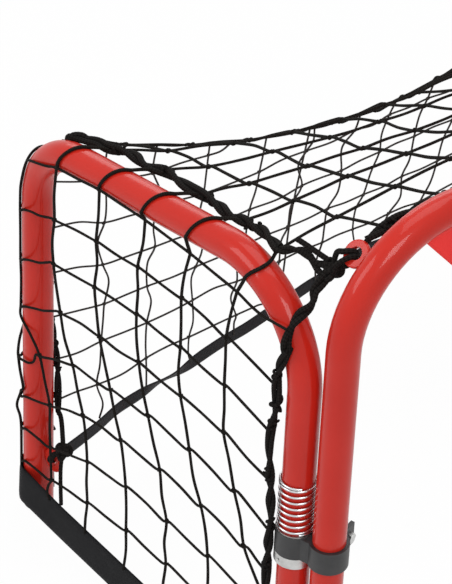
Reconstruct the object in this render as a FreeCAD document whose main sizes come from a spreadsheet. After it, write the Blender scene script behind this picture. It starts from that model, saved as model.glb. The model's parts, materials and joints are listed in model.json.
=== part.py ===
import FreeCAD
import Part
import MeshPart
import Sketcher
import math
import os

Vector = FreeCAD.Vector
Placement = FreeCAD.Placement
Rotation = FreeCAD.Rotation

# A small steel hockey goal: a bent front frame, two side wings that fold in behind it on clamp
# hinges, laced nets, ropes, a bottom strap and a cloth target. The mouth faces -Y, the goal stands
# on Z = 0, and the origin is the middle of its footprint.

doc = FreeCAD.newDocument("hockey_goal")
sheet = doc.addObject("Spreadsheet::Sheet", "sizes")

# Driving dimensions, in millimetres and degrees
DIMENSIONS = [
    ("tube_od", 32, "outer diameter of all frame tubes"),
    ("tube_wall", 1.5, "wall of all frame tubes"),
    ("front_width", 900, "over the two posts"),
    ("front_height", 630, "floor to the top of the crossbar"),
    ("front_bend", 112, "corner radius of the front frame, on the tube axis"),
    ("wing_depth", 420, "front leg to rear leg of a wing, axis to axis"),
    ("wing_drop", 56, "crossbar axis down to the front corner of a wing"),
    ("wing_slope", 11, "fall of the top bar towards the back, in degrees"),
    ("wing_front_bend", 98, "radius of the bend over the front leg"),
    ("wing_rear_bend", 52, "radius of the bend over the rear leg"),
    ("hinge_side", 12, "front leg outboard of the post axis"),
    ("hinge_gap", 3, "free space between the folded wing and the front frame"),
    ("cap_lip", 4, "rubber under each tube end"),
    ("cap_plug", 13.5, "straight plug of a foot cap inside the tube"),
    ("cap_nose", 4.5, "tapered end of the plug"),
    ("cap_taper", 2, "how much the plug's radius tapers"),
    ("plug_play", 0.1, "plug of a foot cap to the wall of the tube"),
    ("hinge_play", 0.08, "radial clearance of the clamps round their tubes"),
    ("clamp_height", 26, "height of a hinge clamp"),
    ("clamp_wall", 3.5, "wall of a hinge clamp round the tube"),
    ("clamp_web", 28, "web between the two rings of a hinge clamp"),
    ("clamp_low", 110, "floor to the lower clamp"),
    ("clamp_high", 250, "floor to the upper clamp"),
    ("ear_length", 17, "clamp ear beyond its ring"),
    ("ear_thick", 4, "one clamp ear"),
    ("ear_slot", 3, "slot between the ears"),
    ("bolt_size", 6, "clamp bolt"),
    ("bolt_play", 0.2, "radial play of the bolt in the ears"),
    ("bolt_flats", 10, "hexagon across flats"),
    ("bolt_head", 4, "height of the bolt head"),
    ("nut_height", 5, "height of the nut"),
    ("bolt_spare", 2, "bolt beyond the nut"),
    ("washer_thick", 1.5, "washer under the spring"),
    ("washer_rim", 2.3, "washer beyond its bore"),
    ("spring_wire", 2.4, "wire of the leg spring"),
    ("spring_play", 0.3, "leg tube to the inside of the spring"),
    ("spring_turns", 7, "open turns between the two end turns"),
    ("spring_pitch", 7.4, "rise of one open turn"),
    ("spring_end_gap", 0.5, "gap between an end turn and its neighbour"),
    ("spring_end_angle", 240, "direction of the cut wire ends round the leg"),
    ("collar_height", 12, "stop collar on the leg"),
    ("collar_wall", 3.6, "stop collar beyond the leg"),
    ("screw_size", 5, "set screw of the collar"),
    ("seat_gap", 0.3, "running or soft clearance between pieces"),
    ("eye_outer", 27, "welded ring, outer diameter"),
    ("eye_hole", 13, "welded ring, hole"),
    ("eye_thick", 5, "welded ring, thickness"),
    ("eye_sink", 1.5, "ring reaches this far past the tube surface before coping"),
    ("eye_low", 78, "height of the ring on the rear leg"),
    ("eye_angle", 45, "place of the upper ring round the corner bend, up from its outer side"),
    ("rope_size", 8.4, "border rope along the top bar"),
    ("rope_gap", 1, "top rope to the bar"),
    ("rope_slack", 8, "how far the top rope strays from the bar"),
    ("rope_angle", 40.5, "top rope round the bar, up from its inner side"),
    ("front_rope_size", 8, "border rope down the front leg"),
    ("rear_rope_size", 7.2, "border rope down the rear leg"),
    ("rear_rope_gap", 0.9, "rear rope to the leg"),
    ("rear_rope_angle", 37, "rear rope round the leg, forward from its inner side"),
    ("cross_rope_gap", 1.3, "crossbar rope to the crossbar"),
    ("cross_rope_drop", 6, "crossbar rope below the crossbar's axis"),
    ("tie_size", 5.6, "tie rope through the rings"),
    ("cord_size", 3.4, "net cord that wraps the bars"),
    ("net_thick", 2.4, "thickness of the net panels"),
    ("net_cord", 3.6, "width of a net cord"),
    ("side_mesh", 68, "upright cords of the side net, one to the next"),
    ("side_rows", 57, "lengthwise cords of the side net, one to the next"),
    ("side_first", 54, "rear leg to the first upright cord"),
    ("side_top", 67, "top bar to the first lengthwise cord"),
    ("roof_mesh", 72, "cords of the top net from front to back, one to the next"),
    ("wrap_lean", 36, "how far forward a cord runs while it passes over the top bar"),
    ("back_mesh", 62, "upright cords of the back net, one to the next"),
    ("back_rows", 50, "level cords of the back net, one to the next"),
    ("net_sag", 122, "how far the rear top edge of the net hangs in the middle"),
    ("net_drop", 4, "rear corner of the top net below the top bar's axis"),
    ("roof_swell", 16, "how far the middle of the top net lies above a flat sheet"),
    ("strap_rise", 75, "how far the net draws the bottom strap up in the middle"),
    ("strap_width", 16, "bottom strap"),
    ("strap_thick", 1.6, "bottom strap"),
    ("hem_height", 46, "fabric band along the foot of a wing"),
    ("hem_floor", 3, "floor to the fabric band"),
    ("hem_thick", 2.4, "fabric band"),
    ("cloth_gap", 5, "crossbar to the cloth target"),
    ("cloth_top", 702, "cloth target along the crossbar"),
    ("cloth_drop", 240, "cloth target, height"),
    ("cloth_slant", 49.5, "slanted edge of the cloth target, in degrees"),
    ("cloth_thick", 1.2, "cloth target"),
    ("loop_width", 25, "webbing loop of the cloth target"),
    ("loop_thick", 1.5, "webbing of the loop"),
    ("loop_spread", 240, "outer loops from the middle"),
    ("loop_tab", 22, "loop end sewn on the cloth"),
]
for row, (alias, number, note) in enumerate(DIMENSIONS, start=1):
    sheet.set("A%d" % row, note)
    sheet.set("B%d" % row, str(number))
    sheet.setAlias("B%d" % row, alias)
doc.recompute()


def value(expression):
    """The number that an expression on the sheet's cells gives."""
    result = sheet.evalExpression(expression)
    return float(getattr(result, "Value", result))


# Places that several pieces share, as expressions on the sheet
TUBE_R = "(sizes.tube_od / 2)"
BORE_R = "(sizes.tube_od / 2 - sizes.tube_wall)"
POST_X = "((sizes.front_width - sizes.tube_od) / 2)"
BAR_Z = "(sizes.front_height - sizes.tube_od / 2)"
CLAMP_BORE = "(%s + sizes.hinge_play)" % TUBE_R
CLAMP_R = "(%s + sizes.clamp_wall)" % CLAMP_BORE
LEG_BACK = "(sizes.tube_od + sizes.hinge_gap)"
LACE_REACH = "(%s + sizes.seat_gap + sizes.cord_size)" % TUBE_R
POST_Y = "((%s - %s - sizes.wing_depth - %s) / 2)" % (CLAMP_R, LEG_BACK, LACE_REACH)
LEG_X = "(%s + sizes.hinge_side)" % POST_X
LEG_Y = "(%s + %s)" % (POST_Y, LEG_BACK)
REAR_Y = "(%s + sizes.wing_depth)" % LEG_Y
CORNER_Z = "(%s - sizes.wing_drop)" % BAR_Z
REAR_Z = "(%s - sizes.wing_depth * tan(sizes.wing_slope))" % CORNER_Z
HINGE_SPAN = "sqrt(sizes.hinge_side ^ 2 + %s ^ 2)" % LEG_BACK
SPRING_Z = "(sizes.clamp_high + sizes.clamp_height + sizes.washer_thick + sizes.seat_gap)"

SIDES = (("left", -1), ("right", 1))
parts = []


def keep(item, label):
    """Names a finished sub-part and lists it for export."""
    item.Label = label
    parts.append(item)
    return item


# Helpers: primitives whose sizes and places are bound to the sheet

def place(item, x="0", y="0", z="0"):
    item.setExpression("Placement.Base.x", x)
    item.setExpression("Placement.Base.y", y)
    item.setExpression("Placement.Base.z", z)
    return item


def cylinder(name, radius, height, x="0", y="0", z="0", turn=None):
    item = doc.addObject("Part::Cylinder", name)
    if turn is not None:
        item.Placement = Placement(Vector(0, 0, 0), turn)
    item.setExpression("Radius", radius)
    item.setExpression("Height", height)
    return place(item, x, y, z)


def box(name, length, width, height, x="0", y="0", z="0"):
    item = doc.addObject("Part::Box", name)
    item.setExpression("Length", length)
    item.setExpression("Width", width)
    item.setExpression("Height", height)
    return place(item, x, y, z)


def fuse(name, *items):
    item = doc.addObject("Part::MultiFuse", name)
    item.Shapes = list(items)
    return item


def cut(name, base, tool):
    item = doc.addObject("Part::Cut", name)
    item.Base = base
    item.Tool = tool
    return item


def origin_plane(body, role):
    for feature in body.Origin.OriginFeatures:
        if feature.Role == role:
            return feature


def new_sketch(body, role, name):
    sketch = body.newObject("Sketcher::SketchObject", name)
    sketch.AttachmentSupport = [(origin_plane(body, role), "")]
    sketch.MapMode = "FlatFace"
    return sketch


def bind(sketch, name, expression, kind, *references):
    """Adds a dimension to a sketch and binds it to an expression."""
    constraint = Sketcher.Constraint(kind, *references, value(expression))
    index = sketch.addConstraint(constraint)
    sketch.renameConstraint(index, name)
    sketch.setExpression("Constraints." + name, expression)


def fix(sketch, kind, *references):
    sketch.addConstraint(Sketcher.Constraint(kind, *references))


# Helpers: round arcs, ropes, coils and flat nets made from formulas

def corner_arc(before, corner, after, share=0.45):
    """Points where an arc that rounds a corner starts, passes and ends, and its radius."""
    first = corner - before
    second = after - corner
    turn = first.getAngle(second)
    if turn < 0.001:
        return None
    reach = share * min(first.Length, second.Length)
    radius = reach / math.tan(turn / 2)
    start = corner - first.normalize() * reach
    end = corner + second.normalize() * reach
    inward = ((start + end) * 0.5 - corner).normalize()
    middle = corner + inward * (radius / math.cos(turn / 2) - radius)
    return start, middle, end, radius


def rope_path(points):
    """A wire of straight runs joined by tangent arcs, and its smallest radius."""
    edges = []
    radii = []
    current = points[0]
    for index in range(1, len(points) - 1):
        arc = corner_arc(points[index - 1], points[index], points[index + 1])
        if arc is None:
            continue
        start, middle, end, radius = arc
        edges.append(Part.LineSegment(current, start).toShape())
        edges.append(Part.Arc(start, middle, end).toShape())
        radii.append(radius)
        current = end
    edges.append(Part.LineSegment(current, points[-1]).toShape())
    return Part.Wire(edges), min(radii) if radii else 0


def rope_solid(points, diameter, label):
    path, least = rope_path(points)
    heading = points[1] - points[0]
    ring = Part.Wire([Part.makeCircle(diameter / 2, points[0], heading)])
    solid = path.makePipeShell([ring], True, False)
    length = path.Length
    expected = length * math.pi * diameter * diameter / 4
    print("%s: length %.0f mm, least radius %.1f mm, volume ratio %.3f"
          % (label, length, least, solid.Volume / expected))
    return solid


def feature(name, shape, position=None):
    item = doc.addObject("Part::Feature", name)
    item.Shape = shape
    if position is not None:
        item.Placement = position
    return item


def arc_between(start, heading, end):
    """The round arc from start, leaving along heading, to end."""
    chord = end - start
    across = heading - chord * (heading.dot(chord) / chord.dot(chord))
    rise = chord.Length / 2 * math.tan(chord.getAngle(heading) / 2)
    return Part.Arc(start, start + chord * 0.5 + across.normalize() * rise, end).toShape()


def biarc(start, heading, end, arrival):
    """Two tangent arcs from start to end with the given directions at both."""
    chord = end - start
    total = heading + arrival
    along = chord.dot(total)
    spread = 2 * (1 - heading.dot(arrival))
    reach = (math.sqrt(along * along + spread * chord.dot(chord)) - along) / spread
    joint = (start + heading * reach + end - arrival * reach) * 0.5
    meeting = (end - arrival * reach - (start + heading * reach)).normalize()
    return [arc_between(start, heading, joint), arc_between(joint, meeting, end)]


def spiral_height(turn, open_turns, end_pitch, pitch):
    """Rise of the spring wire after a number of turns: an end turn, open turns, an end turn."""
    rise = end_pitch * min(turn, 1)
    rise += pitch * min(max(turn - 1, 0), open_turns)
    rise += end_pitch * max(turn - 1 - open_turns, 0)
    return rise


def spring_solid():
    wire = value("sizes.spring_wire")
    radius = value(TUBE_R) + value("sizes.spring_play") + wire / 2
    open_turns = value("sizes.spring_turns")
    pitch = value("sizes.spring_pitch")
    end_pitch = wire + value("sizes.spring_end_gap")
    last = math.radians(value("sizes.spring_end_angle"))
    turns = open_turns + 2
    quarters = 4
    steps = int(round(turns * quarters))

    def point(step):
        angle = last + 2 * math.pi * (step / quarters - turns)
        rise = spiral_height(step / quarters, open_turns, end_pitch, pitch)
        return Vector(radius * math.cos(angle), radius * math.sin(angle), wire / 2 + rise)

    def direction(step):
        angle = last + 2 * math.pi * (step / quarters - turns)
        before = max(step - 1, 0) / quarters
        after = min(step + 1, steps) / quarters
        low = spiral_height(before, open_turns, end_pitch, pitch)
        high = spiral_height(after, open_turns, end_pitch, pitch)
        slope = (high - low) / (after - before)
        round_speed = 2 * math.pi * radius
        return Vector(-round_speed * math.sin(angle), round_speed * math.cos(angle), slope).normalize()

    edges = []
    for step in range(steps):
        edges.extend(biarc(point(step), direction(step), point(step + 1), direction(step + 1)))
    path = Part.Wire(edges)
    ring = Part.Wire([Part.makeCircle(wire / 2, point(0), direction(0))])
    least = end_pitch
    samples = [edge.valueAt(edge.FirstParameter + (edge.LastParameter - edge.FirstParameter) * part)
               for edge in edges for part in (0, 0.5)]
    turn = 4 * quarters
    for index, here in enumerate(samples):
        for other in samples[index + turn // 2:index + turn * 3 // 2]:
            least = min(least, here.distanceToPoint(other))
    print("spring: least gap of the wire to itself %.2f mm, height %.1f mm"
          % (least - wire, point(steps).z + wire / 2))
    return path.makePipeShell([ring], True, False)


def clip_polygon(polygon, limit):
    """The part of a polygon inside a convex, anticlockwise limit."""
    output = polygon
    for index in range(len(limit)):
        ax, ay = limit[index]
        bx, by = limit[(index + 1) % len(limit)]
        source = output
        output = []
        for number in range(len(source)):
            px, py = source[number]
            qx, qy = source[(number + 1) % len(source)]
            inside_p = (bx - ax) * (py - ay) - (by - ay) * (px - ax)
            inside_q = (bx - ax) * (qy - ay) - (by - ay) * (qx - ax)
            if inside_p >= 0:
                output.append((px, py))
            if (inside_p >= 0) != (inside_q >= 0):
                part = inside_p / (inside_p - inside_q)
                output.append((px + (qx - px) * part, py + (qy - py) * part))
        if not output:
            return []
    return output


def polygon_area(polygon):
    total = 0
    for index in range(len(polygon)):
        px, py = polygon[index]
        qx, qy = polygon[(index + 1) % len(polygon)]
        total += px * qy - qx * py
    return total / 2


def evenly(through, pitch, low, high):
    """Evenly spaced places, one of them at through, from just below low to just above high."""
    first = math.floor((low - through) / pitch)
    last = math.ceil((high - through) / pitch)
    return [through + pitch * index for index in range(first, last + 1)]


def net_cell(left, right, low, high, cord, fall=0):
    """The open cell between two upright and two lengthwise cords, which fall along the net."""
    a, b = left + cord / 2, right - cord / 2
    c, d = low + cord / 2, high - cord / 2
    return [(a, c - a * fall), (b, c - b * fall), (b, d - b * fall), (a, d - a * fall)]


LEAST_CELL = 0.06


def clip_cell(cell, limits):
    """A cell cut to the limits, or nothing where only a sliver of it is left."""
    least = LEAST_CELL * polygon_area(cell)
    for limit in limits:
        cell = clip_polygon(cell, limit) if cell else cell
    return cell if cell and polygon_area(cell) > least else None


def net_gaps(columns, rows, cord, limits, fall=0):
    cells = [net_cell(left, right, low, high, cord, fall)
             for left, right in zip(columns, columns[1:]) for low, high in zip(rows, rows[1:])]
    return [gap for gap in (clip_cell(cell, limits) for cell in cells) if gap]


def flat_wire(polygon, to_space):
    points = [to_space(x, y) for x, y in polygon]
    clean = [points[0]]
    for point in points[1:]:
        if point.distanceToPoint(clean[-1]) > 0.2:
            clean.append(point)
    if clean[-1].distanceToPoint(clean[0]) < 0.2:
        clean.pop()
    return Part.makePolygon(clean + [clean[0]])


def inset(polygon, distance):
    """A convex, anticlockwise polygon moved in by a distance on every side."""
    lines = []
    for index in range(len(polygon)):
        ax, ay = polygon[index]
        bx, by = polygon[(index + 1) % len(polygon)]
        length = math.hypot(bx - ax, by - ay)
        nx, ny = -(by - ay) / length, (bx - ax) / length
        lines.append((ax + nx * distance, ay + ny * distance, (bx - ax) / length, (by - ay) / length))
    corners = []
    for index in range(len(lines)):
        ax, ay, ux, uy = lines[index - 1]
        bx, by, vx, vy = lines[index]
        cross = ux * vy - uy * vx
        part = ((bx - ax) * vy - (by - ay) * vx) / cross
        corners.append((ax + ux * part, ay + uy * part))
    return corners


# Front frame: one bent tube, two posts and the crossbar

def front_frame():
    body = doc.addObject("PartDesign::Body", "FrontFrame")
    path = new_sketch(body, "XZ_Plane", "FrontPath")
    x = value(POST_X)
    top = value(BAR_Z)
    bend = value("sizes.front_bend")
    foot = value("sizes.cap_lip")
    normal = Vector(0, 0, 1)
    path.addGeometry([
        Part.LineSegment(Vector(-x, foot, 0), Vector(-x, top - bend, 0)),
        Part.ArcOfCircle(Part.Circle(Vector(-x + bend, top - bend, 0), normal, bend), math.pi / 2, math.pi),
        Part.LineSegment(Vector(-x + bend, top, 0), Vector(x - bend, top, 0)),
        Part.ArcOfCircle(Part.Circle(Vector(x - bend, top - bend, 0), normal, bend), 0, math.pi / 2),
        Part.LineSegment(Vector(x, top - bend, 0), Vector(x, foot, 0)),
    ], False)
    fix(path, "Tangent", 0, 2, 1, 2)
    fix(path, "Tangent", 1, 1, 2, 1)
    fix(path, "Tangent", 2, 2, 3, 2)
    fix(path, "Tangent", 3, 1, 4, 1)
    fix(path, "Vertical", 0)
    fix(path, "Vertical", 4)
    fix(path, "Horizontal", 2)
    fix(path, "Symmetric", 0, 1, 4, 2, -2)
    bind(path, "left_bend", "sizes.front_bend", "Radius", 1)
    bind(path, "right_bend", "sizes.front_bend", "Radius", 3)
    bind(path, "spread", "2 * " + POST_X, "DistanceX", 0, 1, 4, 2)
    bind(path, "top", BAR_Z, "DistanceY", -1, 1, 2, 1)
    bind(path, "foot", "sizes.cap_lip", "DistanceY", -1, 1, 0, 1)
    ring = new_sketch(body, "XY_Plane", "FrontTube")
    ring.setExpression("AttachmentOffset.Base.z", "sizes.cap_lip")
    ring.addGeometry([
        Part.Circle(Vector(-x, 0, 0), normal, value(TUBE_R)),
        Part.Circle(Vector(-x, 0, 0), normal, value(BORE_R)),
    ], False)
    fix(ring, "Coincident", 0, 3, 1, 3)
    fix(ring, "PointOnObject", 0, 3, -1)
    bind(ring, "post", POST_X, "DistanceX", 0, 3, -1, 1)
    bind(ring, "outer", TUBE_R, "Radius", 0)
    bind(ring, "inner", BORE_R, "Radius", 1)
    doc.recompute()
    pipe = body.newObject("PartDesign::AdditivePipe", "FrontPipe")
    pipe.Profile = ring
    pipe.Spine = (path, [])
    place(body, "0", POST_Y)
    doc.recompute()
    return keep(body, "front_frame")


# Side wing: one bent tube, front leg, sloping top bar and rear leg

def wing_tube(side_name, side):
    body = doc.addObject("PartDesign::Body", "WingTube_" + side_name)
    path = new_sketch(body, "YZ_Plane", "WingPath_" + side_name)
    depth = value("sizes.wing_depth")
    foot = value("sizes.cap_lip")
    slope = math.radians(value("sizes.wing_slope"))
    first = value("sizes.wing_front_bend")
    second = value("sizes.wing_rear_bend")
    first_z = "(%s - sizes.wing_front_bend * tan((90 + sizes.wing_slope) / 2))" % CORNER_Z
    second_z = "(%s - sizes.wing_rear_bend * tan((90 - sizes.wing_slope) / 2))" % REAR_Z
    low_first = value(first_z)
    low_second = value(second_z)
    normal = Vector(0, 0, 1)
    up = Vector(math.sin(slope), math.cos(slope), 0)
    centre_first = Vector(first, low_first, 0)
    centre_second = Vector(depth - second, low_second, 0)
    path.addGeometry([
        Part.LineSegment(Vector(0, foot, 0), Vector(0, low_first, 0)),
        Part.ArcOfCircle(Part.Circle(centre_first, normal, first), math.pi / 2 - slope, math.pi),
        Part.LineSegment(centre_first + up * first, centre_second + up * second),
        Part.ArcOfCircle(Part.Circle(centre_second, normal, second), 0, math.pi / 2 - slope),
        Part.LineSegment(Vector(depth, low_second, 0), Vector(depth, foot, 0)),
    ], False)
    fix(path, "Tangent", 0, 2, 1, 2)
    fix(path, "Tangent", 1, 1, 2, 1)
    fix(path, "Tangent", 2, 2, 3, 2)
    fix(path, "Tangent", 3, 1, 4, 1)
    fix(path, "Vertical", 0)
    fix(path, "Vertical", 4)
    bind(path, "front_bend", "sizes.wing_front_bend", "Radius", 1)
    bind(path, "rear_bend", "sizes.wing_rear_bend", "Radius", 3)
    fix(path, "PointOnObject", 0, 1, -2)
    bind(path, "depth", "sizes.wing_depth", "DistanceX", 0, 1, 4, 2)
    bind(path, "front_foot", "sizes.cap_lip", "DistanceY", -1, 1, 0, 1)
    bind(path, "rear_foot", "sizes.cap_lip", "DistanceY", -1, 1, 4, 2)
    bind(path, "front_centre", first_z, "DistanceY", -1, 1, 1, 3)
    bind(path, "rear_centre", second_z, "DistanceY", -1, 1, 3, 3)
    ring = new_sketch(body, "XY_Plane", "WingRing_" + side_name)
    ring.setExpression("AttachmentOffset.Base.z", "sizes.cap_lip")
    ring.addGeometry([
        Part.Circle(Vector(0, 0, 0), normal, value(TUBE_R)),
        Part.Circle(Vector(0, 0, 0), normal, value(BORE_R)),
    ], False)
    fix(ring, "Coincident", 0, 3, -1, 1)
    fix(ring, "Coincident", 1, 3, -1, 1)
    bind(ring, "outer", TUBE_R, "Radius", 0)
    bind(ring, "inner", BORE_R, "Radius", 1)
    doc.recompute()
    pipe = body.newObject("PartDesign::AdditivePipe", "WingPipe_" + side_name)
    pipe.Profile = ring
    pipe.Spine = (path, [])
    place(body, "%d * %s" % (side, LEG_X), LEG_Y)
    doc.recompute()
    return keep(body, "wing_tube_" + side_name)


# Rubber foot cap: a lip under the tube and a plug inside it

def foot_cap(label, x, y):
    lip = cylinder("Lip_" + label, TUBE_R, "sizes.cap_lip")
    plug_r = "(%s - sizes.plug_play)" % BORE_R
    plug = cylinder("Plug_" + label, plug_r, "sizes.cap_lip + sizes.cap_plug")
    nose = doc.addObject("Part::Cone", "Nose_" + label)
    nose.setExpression("Radius1", plug_r)
    nose.setExpression("Radius2", plug_r + " - sizes.cap_taper")
    nose.setExpression("Height", "sizes.cap_nose")
    place(nose, "0", "0", "sizes.cap_lip + sizes.cap_plug")
    cap = fuse("Cap_" + label, lip, plug, nose)
    place(cap, x, y)
    return keep(cap, label)


# Welded rings: flat rings with rounded rims, coped to the tube they sit on

def ring_body(name):
    body = doc.addObject("PartDesign::Body", name)
    sketch = new_sketch(body, "XZ_Plane", name + "_rim")
    inner = value("sizes.eye_hole") / 2
    outer = value("sizes.eye_outer") / 2
    half = value("sizes.eye_thick") / 2
    sketch.addGeometry([
        Part.LineSegment(Vector(inner, -half, 0), Vector(outer, -half, 0)),
        Part.LineSegment(Vector(outer, -half, 0), Vector(outer, half, 0)),
        Part.LineSegment(Vector(outer, half, 0), Vector(inner, half, 0)),
        Part.LineSegment(Vector(inner, half, 0), Vector(inner, -half, 0)),
    ], False)
    for index in range(4):
        fix(sketch, "Coincident", index, 2, (index + 1) % 4, 1)
    fix(sketch, "Horizontal", 0)
    fix(sketch, "Horizontal", 2)
    fix(sketch, "Vertical", 1)
    fix(sketch, "Symmetric", 0, 1, 2, 2, -1)
    bind(sketch, "hole", "sizes.eye_hole / 2", "DistanceX", -1, 1, 0, 1)
    bind(sketch, "outer", "sizes.eye_outer / 2", "DistanceX", -1, 1, 0, 2)
    bind(sketch, "thick", "sizes.eye_thick", "DistanceY", 1, 1, 1, 2)
    doc.recompute()
    revolution = body.newObject("PartDesign::Revolution", name + "_turn")
    revolution.Profile = sketch
    revolution.ReferenceAxis = (sketch, ["V_Axis"])
    revolution.Angle = 360
    doc.recompute()
    rims = ["Edge%d" % (index + 1) for index, edge in enumerate(revolution.Shape.Edges)
            if edge.Closed and abs(edge.Curve.Radius - outer) < 0.001]
    rounding = body.newObject("PartDesign::Fillet", name + "_round")
    rounding.Base = (revolution, rims)
    rounding.setExpression("Radius", "sizes.eye_thick * 0.3")
    doc.recompute()
    return body


EYE_OFFSET = "(%s + sizes.eye_outer / 2 - sizes.eye_sink)" % TUBE_R
CORNER_EYE_Y = "(%s + %s)" % (POST_Y, EYE_OFFSET)
CORNER_EYE_X = "(%s - sizes.front_bend * (1 - cos(sizes.eye_angle)))" % POST_X
CORNER_EYE_Z = "(%s - sizes.front_bend * (1 - sin(sizes.eye_angle)))" % BAR_Z


def corner_eye(side_name, side):
    ring = ring_body("CornerRing_" + side_name)
    turn = Rotation(Vector(0, 1, 0), side * (90 - value("sizes.eye_angle")))
    ring.Placement = Placement(Vector(0, 0, 0), turn)
    place(ring, "%d * %s" % (side, CORNER_EYE_X), CORNER_EYE_Y, CORNER_EYE_Z)
    bend = doc.addObject("Part::Torus", "CornerCope_" + side_name)
    bend.Placement = Placement(Vector(0, 0, 0), Rotation(Vector(1, 0, 0), 90))
    bend.setExpression("Radius1", "sizes.front_bend")
    bend.setExpression("Radius2", TUBE_R)
    place(bend, "%d * (%s - sizes.front_bend)" % (side, POST_X), POST_Y, BAR_Z + " - sizes.front_bend")
    return keep(cut("CornerEye_" + side_name, ring, bend), "corner_eye_" + side_name)


def lower_eye(side_name, side):
    ring = ring_body("LowerRing_" + side_name)
    ring.Placement = Placement(Vector(0, 0, 0), Rotation(Vector(0, 1, 0), 90))
    place(ring, "%d * %s" % (side, LEG_X), "%s - %s" % (REAR_Y, EYE_OFFSET), "sizes.eye_low")
    leg = cylinder("LowerCope_" + side_name, TUBE_R, CORNER_Z, "%d * %s" % (side, LEG_X), REAR_Y)
    return keep(cut("LowerEye_" + side_name, ring, leg), "lower_eye_" + side_name)


# Hinge clamp: it grips the post, and the wing's front leg turns in its second ring

def hinge_clamp(label, side, low):
    post_ring = cylinder("PostRing_" + label, CLAMP_R, "sizes.clamp_height")
    leg_ring = cylinder("LegRing_" + label, CLAMP_R, "sizes.clamp_height", "0", HINGE_SPAN)
    web = box("Web_" + label, "sizes.clamp_web", HINGE_SPAN, "sizes.clamp_height", "-sizes.clamp_web / 2")
    ear_width = "(2 * sizes.ear_thick + sizes.ear_slot)"
    ear_reach = "(%s + sizes.ear_length)" % CLAMP_R
    inboard = -side
    ears = box("Ears_" + label, ear_reach, ear_width, "sizes.clamp_height",
               "0" if inboard > 0 else "-" + ear_reach, "-%s / 2" % ear_width)
    solid = fuse("ClampBlock_" + label, post_ring, leg_ring, web, ears)
    post_bore = cylinder("PostBore_" + label, CLAMP_BORE, "sizes.clamp_height")
    leg_bore = cylinder("LegBore_" + label, CLAMP_BORE, "sizes.clamp_height", "0", HINGE_SPAN)
    slot = box("Slot_" + label, ear_reach + " + 1", "sizes.ear_slot", "sizes.clamp_height",
               "0" if inboard > 0 else "-%s - 1" % ear_reach, "-sizes.ear_slot / 2")
    bolt_x = "%d * (%s + sizes.ear_length / 2)" % (inboard, CLAMP_R)
    hole = cylinder("BoltHole_" + label, "sizes.bolt_size / 2 + sizes.bolt_play", ear_width + " + 2",
                    bolt_x, "-%s / 2 - 1" % ear_width, "sizes.clamp_height / 2",
                    Rotation(Vector(1, 0, 0), -90))
    tools = fuse("ClampTools_" + label, post_bore, leg_bore, slot, hole)
    clamp = cut("Clamp_" + label, solid, tools)
    turn = "atan(sizes.hinge_side / %s)" % LEG_BACK
    clamp.Placement = Placement(Vector(0, 0, 0), Rotation(Vector(0, 0, 1), 90))
    clamp.setExpression("Placement.Rotation.Angle", turn if side < 0 else "360 deg - " + turn)
    place(clamp, "%d * %s" % (side, POST_X), POST_Y, low)
    return keep(clamp, label)


# Clamp bolts and nuts: one of each through the ears of every clamp

def hexagon(name, height):
    item = doc.addObject("Part::Prism", name)
    item.Polygon = 6
    item.setExpression("Circumradius", "sizes.bolt_flats / sqrt(3)")
    item.setExpression("Height", height)
    return item


def fastener_place(item, side, low, along):
    """Turns a fastener from +Z to the clamp's bolt axis and moves it to its ear."""
    span = math.atan2(value("sizes.hinge_side"), value(LEG_BACK))
    turn = Rotation(Vector(0, 0, 1), -side * math.degrees(span))
    inboard = -side
    local = Vector(inboard * (value(CLAMP_R) + value("sizes.ear_length") / 2), along,
                   value("sizes.clamp_height") / 2)
    base = Vector(side * value(POST_X), value(POST_Y), value(low)) + turn.multVec(local)
    item.Placement = Placement(base, turn.multiply(Rotation(Vector(1, 0, 0), -90)))
    return item


def fasteners():
    half = value("sizes.ear_thick") + value("sizes.ear_slot") / 2
    bolts = []
    nuts = []
    for side_name, side in SIDES:
        for level, low in (("low", "sizes.clamp_low"), ("high", "sizes.clamp_high")):
            mark = level + "_" + side_name
            grip = "(2 * sizes.ear_thick + sizes.ear_slot)"
            shank = cylinder("Shank_" + mark, "sizes.bolt_size / 2",
                             "sizes.bolt_head + %s + sizes.nut_height + sizes.bolt_spare" % grip)
            bolt = fuse("Bolt_" + mark, hexagon("Head_" + mark, "sizes.bolt_head"), shank)
            bolts.append(fastener_place(bolt, side, low, -half - value("sizes.bolt_head")))
            bore = cylinder("NutBore_" + mark, "sizes.bolt_size / 2 + 0.05", "sizes.nut_height")
            nut = cut("Nut_" + mark, hexagon("NutHex_" + mark, "sizes.nut_height"), bore)
            nuts.append(fastener_place(nut, side, low, half))
    bolt_set = doc.addObject("Part::Compound", "ClampBolts")
    bolt_set.Links = bolts
    nut_set = doc.addObject("Part::Compound", "ClampNuts")
    nut_set.Links = nuts
    keep(bolt_set, "clamp_bolts")
    keep(nut_set, "clamp_nuts")


# On the front leg: washer and spring over the upper clamp, stop collar under it

def leg_washer(side_name, side):
    bore = "(%s + sizes.spring_play)" % TUBE_R
    plate = cylinder("WasherPlate_" + side_name, bore + " + sizes.washer_rim", "sizes.washer_thick")
    hole = cylinder("WasherHole_" + side_name, bore, "sizes.washer_thick")
    washer = cut("Washer_" + side_name, plate, hole)
    place(washer, "%d * %s" % (side, LEG_X), LEG_Y, "sizes.clamp_high + sizes.clamp_height")
    return keep(washer, "spring_washer_" + side_name)


def leg_spring(side_name, side):
    position = Placement(Vector(side * value(LEG_X), value(LEG_Y), value(SPRING_Z)), Rotation())
    return keep(feature("Spring_" + side_name, spring_solid(), position), "leg_spring_" + side_name)


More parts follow.
